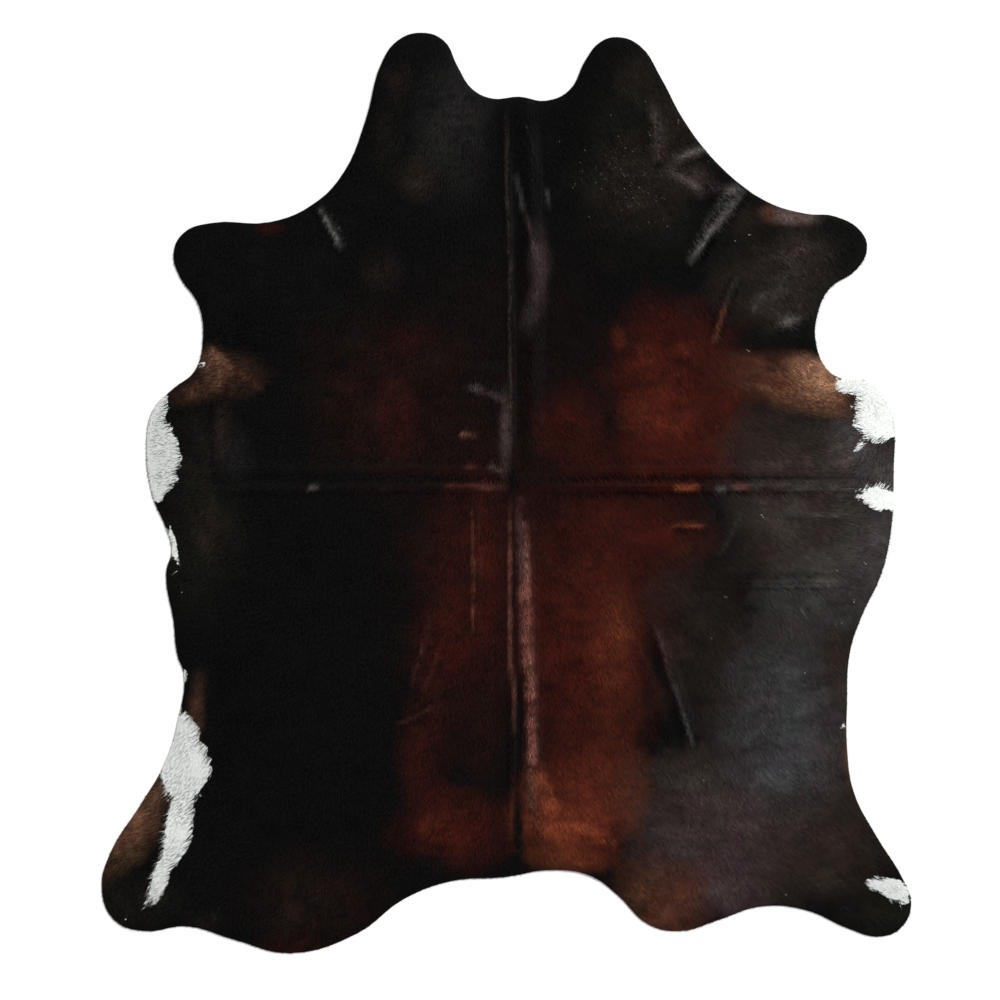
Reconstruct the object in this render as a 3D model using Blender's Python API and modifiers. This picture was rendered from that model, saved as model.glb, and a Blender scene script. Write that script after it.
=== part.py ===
"""A whole cowhide laid flat as a rug, coat side up.

Metres, +Z up, +Y towards the neck. The origin is on the floor, under the middle of the
hide's bounding box. The hide is one sheet: a cut outline, raised in soft ridges where it
was folded for storage and in low swells where it doesn't lie quite flat, then thickened.
"""

import math
from collections import namedtuple

import bmesh
import bpy
import numpy as np
from mathutils import Vector
from mathutils.geometry import delaunay_2d_cdt

HIDE_THICKNESS = 0.004  # tanned skin and the coat that lies pressed on it
CURVE_STEPS = 5  # straight runs of the rim from one landmark to the next
FLAT_SPACING = 0.064  # between the sheet's points where it lies flat
RIDGE_SPACING = 0.030  # between its points along a ridge's crest
RIDGE_SIDES = (-1.0, 1.0, -0.5, 0.5)  # rows of points beside a crest, in half widths
CLOSEST_POINTS = 0.009
RIM_CLEARANCE = 0.016
RIDGE_END = 0.25  # share of a ridge's length over which each end fades out

COAT_COLOUR = (0.010, 0.008, 0.007, 1.0)
COAT_ROUGHNESS = 0.6

Landmark = namedtuple("Landmark", "name x y")
Ridge = namedtuple("Ridge", "name x0 y0 x1 y1 bow height half_width")
Swell = namedtuple("Swell", "name x y reach_x reach_y height")

# The rim, clockwise from the neck's left tip.
OUTLINE = (
    Landmark("neck left tip", -0.197, 1.058),
    Landmark("neck left tip, right side", -0.144, 1.040),
    Landmark("neck left lobe, right side", -0.112, 0.980),
    Landmark("neck notch, left slope", -0.079, 0.929),
    Landmark("neck notch, left foot", -0.033, 0.907),
    Landmark("neck notch, middle", 0.029, 0.911),
    Landmark("neck notch, right foot", 0.091, 0.902),
    Landmark("neck notch, right slope", 0.146, 0.927),
    Landmark("neck right lobe, left side", 0.183, 0.996),
    Landmark("neck right tip, left side", 0.215, 1.036),
    Landmark("neck right tip", 0.256, 1.048),
    Landmark("neck right tip, right side", 0.307, 1.028),
    Landmark("neck right lobe, right side", 0.355, 0.955),
    Landmark("neck right shoulder", 0.406, 0.860),
    Landmark("right shoulder", 0.484, 0.759),
    Landmark("right foreleg, front", 0.595, 0.672),
    Landmark("right foreleg, front bend", 0.689, 0.642),
    Landmark("right foreleg, upper corner", 0.756, 0.636),
    Landmark("right foreleg, tip", 0.818, 0.598),
    Landmark("right foreleg, outer end", 0.829, 0.559),
    Landmark("right foreleg, lower corner", 0.804, 0.513),
    Landmark("right foreleg, back", 0.742, 0.469),
    Landmark("right armpit, front", 0.714, 0.407),
    Landmark("right armpit", 0.712, 0.345),
    Landmark("right armpit, back", 0.737, 0.285),
    Landmark("right belly, corner", 0.772, 0.263),
    Landmark("right belly, front bend", 0.827, 0.258),
    Landmark("right belly, front", 0.868, 0.223),
    Landmark("right belly, shoulder", 0.890, 0.168),
    Landmark("right belly, widest", 0.891, 0.062),
    Landmark("right belly, back", 0.885, -0.081),
    Landmark("right flank, front", 0.861, -0.189),
    Landmark("right flank", 0.818, -0.281),
    Landmark("right stifle", 0.790, -0.366),
    Landmark("right hock hollow, front", 0.783, -0.485),
    Landmark("right hock hollow", 0.783, -0.584),
    Landmark("right hock hollow, back", 0.798, -0.685),
    Landmark("right hind leg, front", 0.852, -0.791),
    Landmark("right hind leg, outer side", 0.911, -0.886),
    Landmark("right hind leg, tip", 0.931, -0.943),
    Landmark("right hind leg, lower corner", 0.907, -1.000),
    Landmark("right hind leg, end", 0.857, -1.020),
    Landmark("right hind leg, inner corner", 0.790, -1.003),
    Landmark("right hind leg, inner side", 0.689, -0.959),
    Landmark("right rump", 0.588, -0.950),
    Landmark("right rump lobe, outer side", 0.484, -0.983),
    Landmark("right rump lobe", 0.401, -1.007),
    Landmark("right rump lobe, inner side", 0.328, -0.993),
    Landmark("tail notch, right slope", 0.255, -0.924),
    Landmark("tail notch, right foot", 0.194, -0.880),
    Landmark("tail notch, middle", 0.105, -0.866),
    Landmark("tail notch, left foot", -0.003, -0.883),
    Landmark("left rump, inner side", -0.125, -0.892),
    Landmark("left rump lobe, inner side", -0.236, -0.934),
    Landmark("left rump lobe, slope", -0.342, -1.012),
    Landmark("left rump lobe", -0.498, -1.058),
    Landmark("left rump lobe, outer side", -0.622, -1.028),
    Landmark("left rump", -0.735, -0.996),
    Landmark("left hind leg, end", -0.834, -1.007),
    Landmark("left hind leg, lower corner", -0.903, -0.980),
    Landmark("left hind leg, tip", -0.930, -0.906),
    Landmark("left hind leg, outer side", -0.910, -0.828),
    Landmark("left hind leg, front", -0.843, -0.720),
    Landmark("left hock hollow, back", -0.785, -0.621),
    Landmark("left hock hollow", -0.753, -0.515),
    Landmark("left stifle", -0.741, -0.416),
    Landmark("left stifle, front", -0.756, -0.373),
    Landmark("left flank, back", -0.765, -0.294),
    Landmark("left flank, notch corner", -0.782, -0.182),
    Landmark("left flank, notch", -0.769, -0.131),
    Landmark("left belly, notch front", -0.785, -0.074),
    Landmark("left belly, back", -0.813, -0.007),
    Landmark("left belly, widest", -0.827, 0.110),
    Landmark("left belly, front", -0.811, 0.193),
    Landmark("left belly, corner", -0.767, 0.239),
    Landmark("left armpit, back", -0.716, 0.281),
    Landmark("left armpit", -0.698, 0.345),
    Landmark("left armpit, front", -0.707, 0.432),
    Landmark("left foreleg, back", -0.751, 0.498),
    Landmark("left foreleg, outer end", -0.765, 0.550),
    Landmark("left foreleg, tip", -0.742, 0.598),
    Landmark("left foreleg, upper corner", -0.677, 0.621),
    Landmark("left foreleg, front", -0.544, 0.623),
    Landmark("left shoulder, front", -0.447, 0.662),
    Landmark("left shoulder", -0.375, 0.735),
    Landmark("neck left lobe, left slope", -0.323, 0.858),
    Landmark("neck left lobe, left side", -0.284, 0.994),
    Landmark("neck left tip, left side", -0.250, 1.040),
)

# Soft ridges along a crest from (x0, y0) to (x1, y1). The bow is how far the crest's middle
# swings to the left of its way. The valley between two neighbours is the fold's crease.
RIDGES = (
    Ridge("spine fold, neck, right lip", 0.040, 0.925, 0.050, 0.030, 0.012, 0.010, 0.034),
    Ridge("spine fold, neck, left lip", -0.008, 0.915, 0.012, 0.030, 0.004, 0.005, 0.013),
    Ridge("spine fold, tail, right lip", 0.044, 0.010, 0.084, -0.885, -0.014, 0.010, 0.028),
    Ridge("spine fold, tail, left lip", 0.012, 0.010, -0.006, -0.885, 0.011, 0.005, 0.013),
    Ridge("cross fold, left, back lip", -0.720, 0.006, 0.000, 0.014, 0.004, 0.005, 0.018),
    Ridge("cross fold, left, front lip", -0.700, 0.048, 0.000, 0.054, 0.003, 0.004, 0.022),
    Ridge("cross fold, right, back lip", 0.060, 0.013, 0.870, 0.010, 0.003, 0.008, 0.020),
    Ridge("cross fold, right, front lip", 0.070, 0.052, 0.860, 0.054, 0.002, 0.004, 0.022),
    Ridge("left rib wrinkle", -0.077, -0.016, -0.075, -0.338, 0.007, 0.004, 0.013),
    Ridge("right hip wrinkle", 0.330, -0.290, 0.428, -0.590, 0.005, 0.009, 0.023),
    Ridge("right hip wrinkle, low side", 0.290, -0.340, 0.378, -0.600, 0.008, 0.003, 0.022),
    Ridge("neck right wrinkle, upper", 0.330, 0.890, 0.344, 0.745, -0.004, 0.006, 0.022),
    Ridge("neck right wrinkle, arm", 0.352, 0.735, 0.462, 0.798, 0.003, 0.006, 0.024),
    Ridge("neck right wrinkle, lower", 0.350, 0.745, 0.452, 0.672, 0.004, 0.006, 0.026),
    Ridge("right shoulder streak, top", 0.445, 0.682, 0.562, 0.694, 0.004, 0.006, 0.020),
    Ridge("right shoulder streak", 0.548, 0.692, 0.424, 0.524, -0.006, 0.010, 0.017),
    Ridge("right shoulder thin streak", 0.534, 0.500, 0.476, 0.335, -0.006, 0.005, 0.013),
    Ridge("right foreleg crease", 0.622, 0.512, 0.692, 0.578, 0.003, 0.003, 0.013),
    Ridge("right armpit crease", 0.610, 0.372, 0.695, 0.405, 0.004, 0.004, 0.016),
    Ridge("left shoulder streak", -0.438, 0.664, -0.372, 0.550, 0.004, 0.008, 0.014),
    Ridge("left of the spine, smear", -0.110, 0.254, -0.004, 0.214, 0.003, 0.005, 0.016),
    Ridge("left hip line, upper", -0.174, -0.268, -0.220, -0.450, 0.004, 0.004, 0.013),
    Ridge("left hip line, lower", -0.168, -0.488, -0.262, -0.534, 0.003, 0.004, 0.013),
    Ridge("right flank crease, lip", 0.500, -0.208, 0.780, -0.210, 0.002, 0.004, 0.016),
    Ridge("right rib crease", 0.372, -0.075, 0.462, -0.079, 0.001, 0.004, 0.013),
    Ridge("left belly streak", -0.664, 0.225, -0.652, 0.025, -0.005, 0.005, 0.018),
    Ridge("left belly short crease", -0.700, -0.194, -0.560, -0.194, 0.002, 0.003, 0.014),
)

# Low swells, each an oval that dies away to nothing at its reach.
SWELLS = (
    Swell("neck left lobe", -0.180, 0.890, 0.170, 0.210, 0.006),
    Swell("neck right lobe", 0.260, 0.880, 0.150, 0.190, 0.006),
    Swell("right shoulder", 0.300, 0.250, 0.300, 0.260, 0.005),
    Swell("right foreleg", 0.660, 0.480, 0.150, 0.160, 0.008),
    Swell("left foreleg", -0.560, 0.440, 0.190, 0.170, 0.006),
    Swell("right flank", 0.660, -0.110, 0.240, 0.170, 0.006),
    Swell("right hip", 0.600, -0.530, 0.230, 0.300, 0.012),
    Swell("right hind leg", 0.720, -0.850, 0.200, 0.120, 0.006),
    Swell("left belly", -0.640, 0.080, 0.160, 0.200, 0.005),
    Swell("left hip", -0.500, -0.480, 0.230, 0.260, 0.007),
    Swell("left hind leg", -0.790, -0.850, 0.130, 0.150, 0.007),
    Swell("right of the tail", 0.190, -0.770, 0.190, 0.150, 0.008),
    Swell("left rump lobe", -0.430, -0.930, 0.200, 0.120, 0.006),
)


def clear_scene():
    for thing in list(bpy.data.objects):
        bpy.data.objects.remove(thing, do_unlink=True)


def new_collection(name):
    collection = bpy.data.collections.new(name)
    bpy.context.scene.collection.children.link(collection)
    return collection


def coat_material():
    material = bpy.data.materials.new("black-brown cowhide")
    material.use_nodes = True
    shader = material.node_tree.nodes["Principled BSDF"]
    shader.inputs["Base Color"].default_value = COAT_COLOUR
    shader.inputs["Roughness"].default_value = COAT_ROUGHNESS
    shader.inputs["Metallic"].default_value = 0.0
    return material


def rim_points():
    """The rim as a closed run of (x, y), read off a smooth curve through the landmarks."""
    curve = bpy.data.curves.new("rim", "CURVE")
    curve.resolution_u = CURVE_STEPS
    spline = curve.splines.new("BEZIER")
    spline.bezier_points.add(len(OUTLINE) - 1)
    spline.use_cyclic_u = True
    for knot, mark in zip(spline.bezier_points, OUTLINE):
        knot.co = (mark.x, mark.y, 0.0)
        knot.handle_left_type = "AUTO"
        knot.handle_right_type = "AUTO"
    guide = bpy.data.objects.new("rim", curve)
    bpy.context.scene.collection.objects.link(guide)
    bpy.context.view_layer.update()
    graph = bpy.context.evaluated_depsgraph_get()
    mesh = bpy.data.meshes.new_from_object(guide.evaluated_get(graph))
    points = np.array([tuple(vertex.co)[:2] for vertex in mesh.vertices])
    bpy.data.objects.remove(guide, do_unlink=True)
    bpy.data.meshes.remove(mesh)
    return points - (points.min(axis=0) + points.max(axis=0)) / 2


def crest_line(ridge, along):
    """Points of the ridge's crest, and the unit vectors to its left, at shares along it."""
    start = np.array((ridge.x0, ridge.y0))
    way = np.array((ridge.x1, ridge.y1)) - start
    left = np.array((-way[1], way[0])) / np.hypot(*way)
    bow = ridge.bow * 4 * along * (1 - along)
    return start + np.outer(along, way) + np.outer(bow, left), left


def ridge_height(ridge, points):
    """How high one ridge lifts each (x, y): a cosine bump across, faded at both ends."""
    start = np.array((ridge.x0, ridge.y0))
    way = np.array((ridge.x1, ridge.y1)) - start
    length = np.hypot(*way)
    left = np.array((-way[1], way[0])) / length
    along = (points - start) @ way / length**2
    aside = (points - start) @ left - ridge.bow * 4 * along * (1 - along)
    across = np.clip(np.abs(aside) / ridge.half_width, 0, 1)
    fade = np.clip(np.minimum(along, 1 - along) / RIDGE_END, 0, 1)
    return ridge.height * (1 + np.cos(math.pi * across)) / 2 * np.sin(fade * math.pi / 2)


def swell_height(swell, points):
    reach = np.array((swell.reach_x, swell.reach_y))
    away = (((points - (swell.x, swell.y)) / reach) ** 2).sum(axis=1)
    return swell.height * np.clip(1 - away, 0, 1) ** 2


def lift(points):
    """Height of the hide's underside over the floor at each (x, y)."""
    ridges = sum(ridge_height(ridge, points) for ridge in RIDGES)
    return ridges + sum(swell_height(swell, points) for swell in SWELLS)


def inside(points, rim):
    """Which points lie inside the rim and clear of it."""
    starts, ends = rim, np.roll(rim, -1, axis=0)
    kept = []
    for x, y in points:
        crossed = (starts[:, 1] > y) != (ends[:, 1] > y)
        rise = np.where(crossed, ends[:, 1] - starts[:, 1], 1.0)
        reach = starts[:, 0] + (y - starts[:, 1]) * (ends[:, 0] - starts[:, 0]) / rise
        within = np.count_nonzero(crossed & (reach > x)) % 2
        kept.append(within and np.hypot(starts[:, 0] - x, starts[:, 1] - y).min() > RIM_CLEARANCE)
    return points[np.array(kept, bool)]


def ridge_row(ridge, side):
    """Points along a ridge, the side's share of its half width to the left of the crest."""
    length = math.hypot(ridge.x1 - ridge.x0, ridge.y1 - ridge.y0)
    crest, left = crest_line(ridge, np.linspace(0, 1, max(3, round(length / RIDGE_SPACING))))
    return crest + left * ridge.half_width * side


def clear_of(kept, points):
    """The kept points and then the others, each dropped that comes too close to one before."""
    for point in points:
        if np.hypot(*(kept - point).T).min() > CLOSEST_POINTS:
            kept = np.vstack((kept, point))
    return kept


def field_points(rim):
    """Points beside the crest of every ridge, then an even field of them."""
    rows = [ridge_row(ridge, side) for side in RIDGE_SIDES for ridge in RIDGES]
    reach = np.abs(rim).max(axis=0)
    row_step = FLAT_SPACING * math.sqrt(3) / 2
    for number, y in enumerate(np.arange(-reach[1], reach[1], row_step)):
        xs = np.arange(-reach[0] + number % 2 * FLAT_SPACING / 2, reach[0], FLAT_SPACING)
        rows.append(np.column_stack((xs, np.full(len(xs), y))))
    return inside(np.vstack(rows), rim)


def hide_mesh():
    """The hide's underside: the outline filled with triangles and lifted in its folds.

    The crests are edges of the triangles, so that no triangle cuts a ridge across.
    """
    rim = rim_points()
    crests = [inside(ridge_row(ridge, 0.0), rim) for ridge in RIDGES]
    points = clear_of(np.vstack([rim] + crests), field_points(rim))
    ends = np.cumsum([len(rim)] + [len(crest) for crest in crests])
    edges = [(at, at + 1) for first, end in zip(ends, ends[1:]) for at in range(first, end - 1)]
    outline = [list(range(len(rim)))]
    flat = [Vector(point) for point in points]
    corners, _, faces, *_ = delaunay_2d_cdt(flat, edges, outline, 1, 1e-6)
    heights = lift(np.array([tuple(corner) for corner in corners]))
    mesh = bpy.data.meshes.new("hide")
    lifted = [(corner.x, corner.y, height) for corner, height in zip(corners, heights)]
    mesh.from_pydata(lifted, [], faces)
    shell = bmesh.new()
    shell.from_mesh(mesh)
    bmesh.ops.recalc_face_normals(shell, faces=shell.faces)
    if sum(face.normal.z for face in shell.faces) < 0:
        bmesh.ops.reverse_faces(shell, faces=shell.faces)
    shell.to_mesh(mesh)
    shell.free()
    mesh.shade_smooth()
    return mesh


def make_hide(collection):
    hide = bpy.data.objects.new("hide", hide_mesh())
    hide.data.materials.append(coat_material())
    collection.objects.link(hide)
    skin = hide.modifiers.new("thickness", "SOLIDIFY")
    skin.thickness = HIDE_THICKNESS
    skin.offset = 1.0
    return hide


def main():
    clear_scene()
    make_hide(new_collection("cowhide rug"))


main()
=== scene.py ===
import math
from collections import namedtuple

import bmesh
import bpy
import numpy as np
from bpy.props import FloatProperty, FloatVectorProperty, IntProperty, PointerProperty
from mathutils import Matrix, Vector


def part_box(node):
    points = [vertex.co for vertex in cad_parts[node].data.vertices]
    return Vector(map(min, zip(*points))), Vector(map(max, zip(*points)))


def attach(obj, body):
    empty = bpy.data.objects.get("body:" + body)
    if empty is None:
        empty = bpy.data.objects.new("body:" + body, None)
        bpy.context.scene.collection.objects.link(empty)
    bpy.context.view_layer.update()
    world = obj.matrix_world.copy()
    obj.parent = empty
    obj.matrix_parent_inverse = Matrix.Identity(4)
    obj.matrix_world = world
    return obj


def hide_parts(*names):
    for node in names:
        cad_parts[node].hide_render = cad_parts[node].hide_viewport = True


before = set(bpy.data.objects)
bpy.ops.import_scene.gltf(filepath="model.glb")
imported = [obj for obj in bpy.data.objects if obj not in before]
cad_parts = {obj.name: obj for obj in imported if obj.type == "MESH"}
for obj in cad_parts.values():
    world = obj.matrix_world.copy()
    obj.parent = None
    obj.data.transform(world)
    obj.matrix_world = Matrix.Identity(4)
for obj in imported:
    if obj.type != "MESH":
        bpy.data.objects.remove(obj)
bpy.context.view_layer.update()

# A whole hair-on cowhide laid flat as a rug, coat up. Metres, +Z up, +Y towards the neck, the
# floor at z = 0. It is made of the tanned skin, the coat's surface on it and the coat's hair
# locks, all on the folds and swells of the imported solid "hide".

bl_info = {
    "name": "Cowhide rug",
    "version": (1, 0, 0),
    "blender": (4, 5, 0),
    "location": "3D View > Sidebar > Cowhide",
    "description": "Makes a hair-on cowhide rug: its skin, its coat and its hair locks",
    "category": "Object",
}

SEED = 4711
UV_NAME = "OFBake"  # the name of each piece's own map
SHEET_THICKNESS = 0.003  # between the two sides of a sheet before its heights are set
LONGEST_EDGE = 0.018  # in a sheet before its heights are set, so that it follows the folds
MOST_SPLITS = 6
SLIVER = 1e-5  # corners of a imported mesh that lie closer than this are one
FACING_UP = 0.35  # least height of a top face's normal
COAT_BASE = 0.6  # how deep the coat is set into the skin, as a share of its thickness
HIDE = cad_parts["hide"]
HIDE_LOW, HIDE_HIGH = (np.array(corner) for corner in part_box("hide"))

Ridge = namedtuple("Ridge", "name x0 y0 x1 y1 bow height half_width")
Swell = namedtuple("Swell", "name x y reach_x reach_y height")
Patch = namedtuple("Patch", "name x y half_length half_width turn shade")
Tone = namedtuple("Tone", "name x y reach_x reach_y turn colour amount")
Streak = namedtuple("Streak", "name x0 y0 x1 y1 bow half_width colour amount")
Whorl = namedtuple("Whorl", "name x y reach turn ruffle")
Speck = namedtuple("Speck", "name x y locks shade")

# Soft ridges along a crest from (x0, y0) to (x1, y1), as in the solid. The bow is how far the
# crest's middle swings to the left of its way. The valley between two is the fold's crease.
RIDGES = (
    Ridge("spine fold, neck, right lip", 0.040, 0.925, 0.050, 0.030, 0.012, 0.010, 0.034),
    Ridge("spine fold, neck, left lip", -0.008, 0.915, 0.012, 0.030, 0.004, 0.005, 0.013),
    Ridge("spine fold, tail, right lip", 0.044, 0.010, 0.084, -0.885, -0.014, 0.010, 0.028),
    Ridge("spine fold, tail, left lip", 0.012, 0.010, -0.006, -0.885, 0.011, 0.005, 0.013),
    Ridge("cross fold, left, back lip", -0.720, 0.006, 0.000, 0.014, 0.004, 0.005, 0.018),
    Ridge("cross fold, left, front lip", -0.700, 0.048, 0.000, 0.054, 0.003, 0.004, 0.022),
    Ridge("cross fold, right, back lip", 0.060, 0.013, 0.870, 0.010, 0.003, 0.008, 0.020),
    Ridge("cross fold, right, front lip", 0.070, 0.052, 0.860, 0.054, 0.002, 0.004, 0.022),
    Ridge("left rib wrinkle", -0.077, -0.016, -0.075, -0.338, 0.007, 0.004, 0.013),
    Ridge("right hip wrinkle", 0.330, -0.290, 0.428, -0.590, 0.005, 0.009, 0.023),
    Ridge("right hip wrinkle, low side", 0.290, -0.340, 0.378, -0.600, 0.008, 0.003, 0.022),
    Ridge("neck right wrinkle, upper", 0.330, 0.890, 0.344, 0.745, -0.004, 0.006, 0.022),
    Ridge("neck right wrinkle, arm", 0.352, 0.735, 0.462, 0.798, 0.003, 0.006, 0.024),
    Ridge("neck right wrinkle, lower", 0.350, 0.745, 0.452, 0.672, 0.004, 0.006, 0.026),
    Ridge("right shoulder streak, top", 0.445, 0.682, 0.562, 0.694, 0.004, 0.006, 0.020),
    Ridge("right shoulder streak", 0.548, 0.692, 0.424, 0.524, -0.006, 0.010, 0.017),
    Ridge("right shoulder thin streak", 0.534, 0.500, 0.476, 0.335, -0.006, 0.005, 0.013),
    Ridge("right foreleg crease", 0.622, 0.512, 0.692, 0.578, 0.003, 0.003, 0.013),
    Ridge("right armpit crease", 0.610, 0.372, 0.695, 0.405, 0.004, 0.004, 0.016),
    Ridge("left shoulder streak", -0.438, 0.664, -0.372, 0.550, 0.004, 0.008, 0.014),
    Ridge("left of the spine, smear", -0.110, 0.254, -0.004, 0.214, 0.003, 0.005, 0.016),
    Ridge("left hip line, upper", -0.174, -0.268, -0.220, -0.450, 0.004, 0.004, 0.013),
    Ridge("left hip line, lower", -0.168, -0.488, -0.262, -0.534, 0.003, 0.004, 0.013),
    Ridge("right flank crease, lip", 0.500, -0.208, 0.780, -0.210, 0.002, 0.004, 0.016),
    Ridge("right rib crease", 0.372, -0.075, 0.462, -0.079, 0.001, 0.004, 0.013),
    Ridge("left belly streak", -0.664, 0.225, -0.652, 0.025, -0.005, 0.005, 0.018),
    Ridge("left belly short crease", -0.700, -0.194, -0.560, -0.194, 0.002, 0.003, 0.014),
)
RIDGE_END = 0.25  # share of a ridge's length over which each end fades out

# Low swells, each an oval that dies away to nothing at its reach, as in the solid.
SWELLS = (
    Swell("neck left lobe", -0.180, 0.890, 0.170, 0.210, 0.006),
    Swell("neck right lobe", 0.260, 0.880, 0.150, 0.190, 0.006),
    Swell("right shoulder", 0.300, 0.250, 0.300, 0.260, 0.005),
    Swell("right foreleg", 0.660, 0.480, 0.150, 0.160, 0.008),
    Swell("left foreleg", -0.560, 0.440, 0.190, 0.170, 0.006),
    Swell("right flank", 0.660, -0.110, 0.240, 0.170, 0.006),
    Swell("right hip", 0.600, -0.530, 0.230, 0.300, 0.012),
    Swell("right hind leg", 0.720, -0.850, 0.200, 0.120, 0.006),
    Swell("left belly", -0.640, 0.080, 0.160, 0.200, 0.005),
    Swell("left hip", -0.500, -0.480, 0.230, 0.260, 0.007),
    Swell("left hind leg", -0.790, -0.850, 0.130, 0.150, 0.007),
    Swell("right of the tail", 0.190, -0.770, 0.190, 0.150, 0.008),
    Swell("left rump lobe", -0.430, -0.930, 0.200, 0.120, 0.006),
)

# White markings, each an oval whose long side lies at the turn, in degrees from +X. The shade
# is how pale its white is: partly the white's own tone and partly painted shade, darker on the
# left side's patches.
PATCHES = (
    Patch("left belly, front", -0.820, 0.196, 0.064, 0.044, 90, 0.75),
    Patch("left belly", -0.820, 0.081, 0.098, 0.072, 90, 0.75),
    Patch("left belly, sliver along the rim", -0.767, -0.118, 0.046, 0.0085, 104, 0.85),
    Patch("right belly, front", 0.859, 0.191, 0.076, 0.060, 76, 1.08),
    Patch("right belly, corner", 0.795, 0.246, 0.051, 0.018, -5, 1.04),
    Patch("right belly, tuft", 0.806, 0.106, 0.018, 0.0045, 54, 1.04),
    Patch("right belly, back", 0.873, -0.016, 0.064, 0.025, -9, 1.08),
    Patch("left hind leg, spike", -0.738, -0.419, 0.014, 0.004, 85, 0.80),
    Patch("left hind leg, top", -0.742, -0.563, 0.075, 0.037, 105, 0.80),
    Patch("left hind leg, widest", -0.738, -0.634, 0.070, 0.056, 78, 0.80),
    Patch("left hind leg, middle", -0.748, -0.757, 0.090, 0.029, 79, 0.80),
    Patch("left hind leg, tip", -0.788, -0.868, 0.078, 0.018, 68, 0.80),
    Patch("right hind leg", 0.889, -0.911, 0.046, 0.023, -25, 0.86),
    Patch("right hind leg, point", 0.850, -0.897, 0.028, 0.014, 0, 0.86),
    Patch("left armpit", -0.700, 0.297, 0.007, 0.004, 0, 1.00),
    Patch("left hind leg, stroke", -0.874, -0.973, 0.010, 0.0022, 70, 0.70),
    Patch("right stifle, rim hairs", 0.774, -0.534, 0.008, 0.003, 60, 1.00),
)
RAGGED = 0.0048  # how far hair tufts break up a marking's edge
RAGGED_FROM = 0.035  # a marking narrower than twice this is broken up less
SLEEK = 0.45  # how high white hair stands, as a share of dark hair's height
FULL_DRIFT = 0.120  # a zone with a shorter reach than this drifts less from its oval
FULL_PATCHY = 0.014  # a streak with a smaller half width than this is less patchy

WARMTH = np.array((0.05, 0.24, 0.16))  # how far red, green and blue vary from spot to spot
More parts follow.
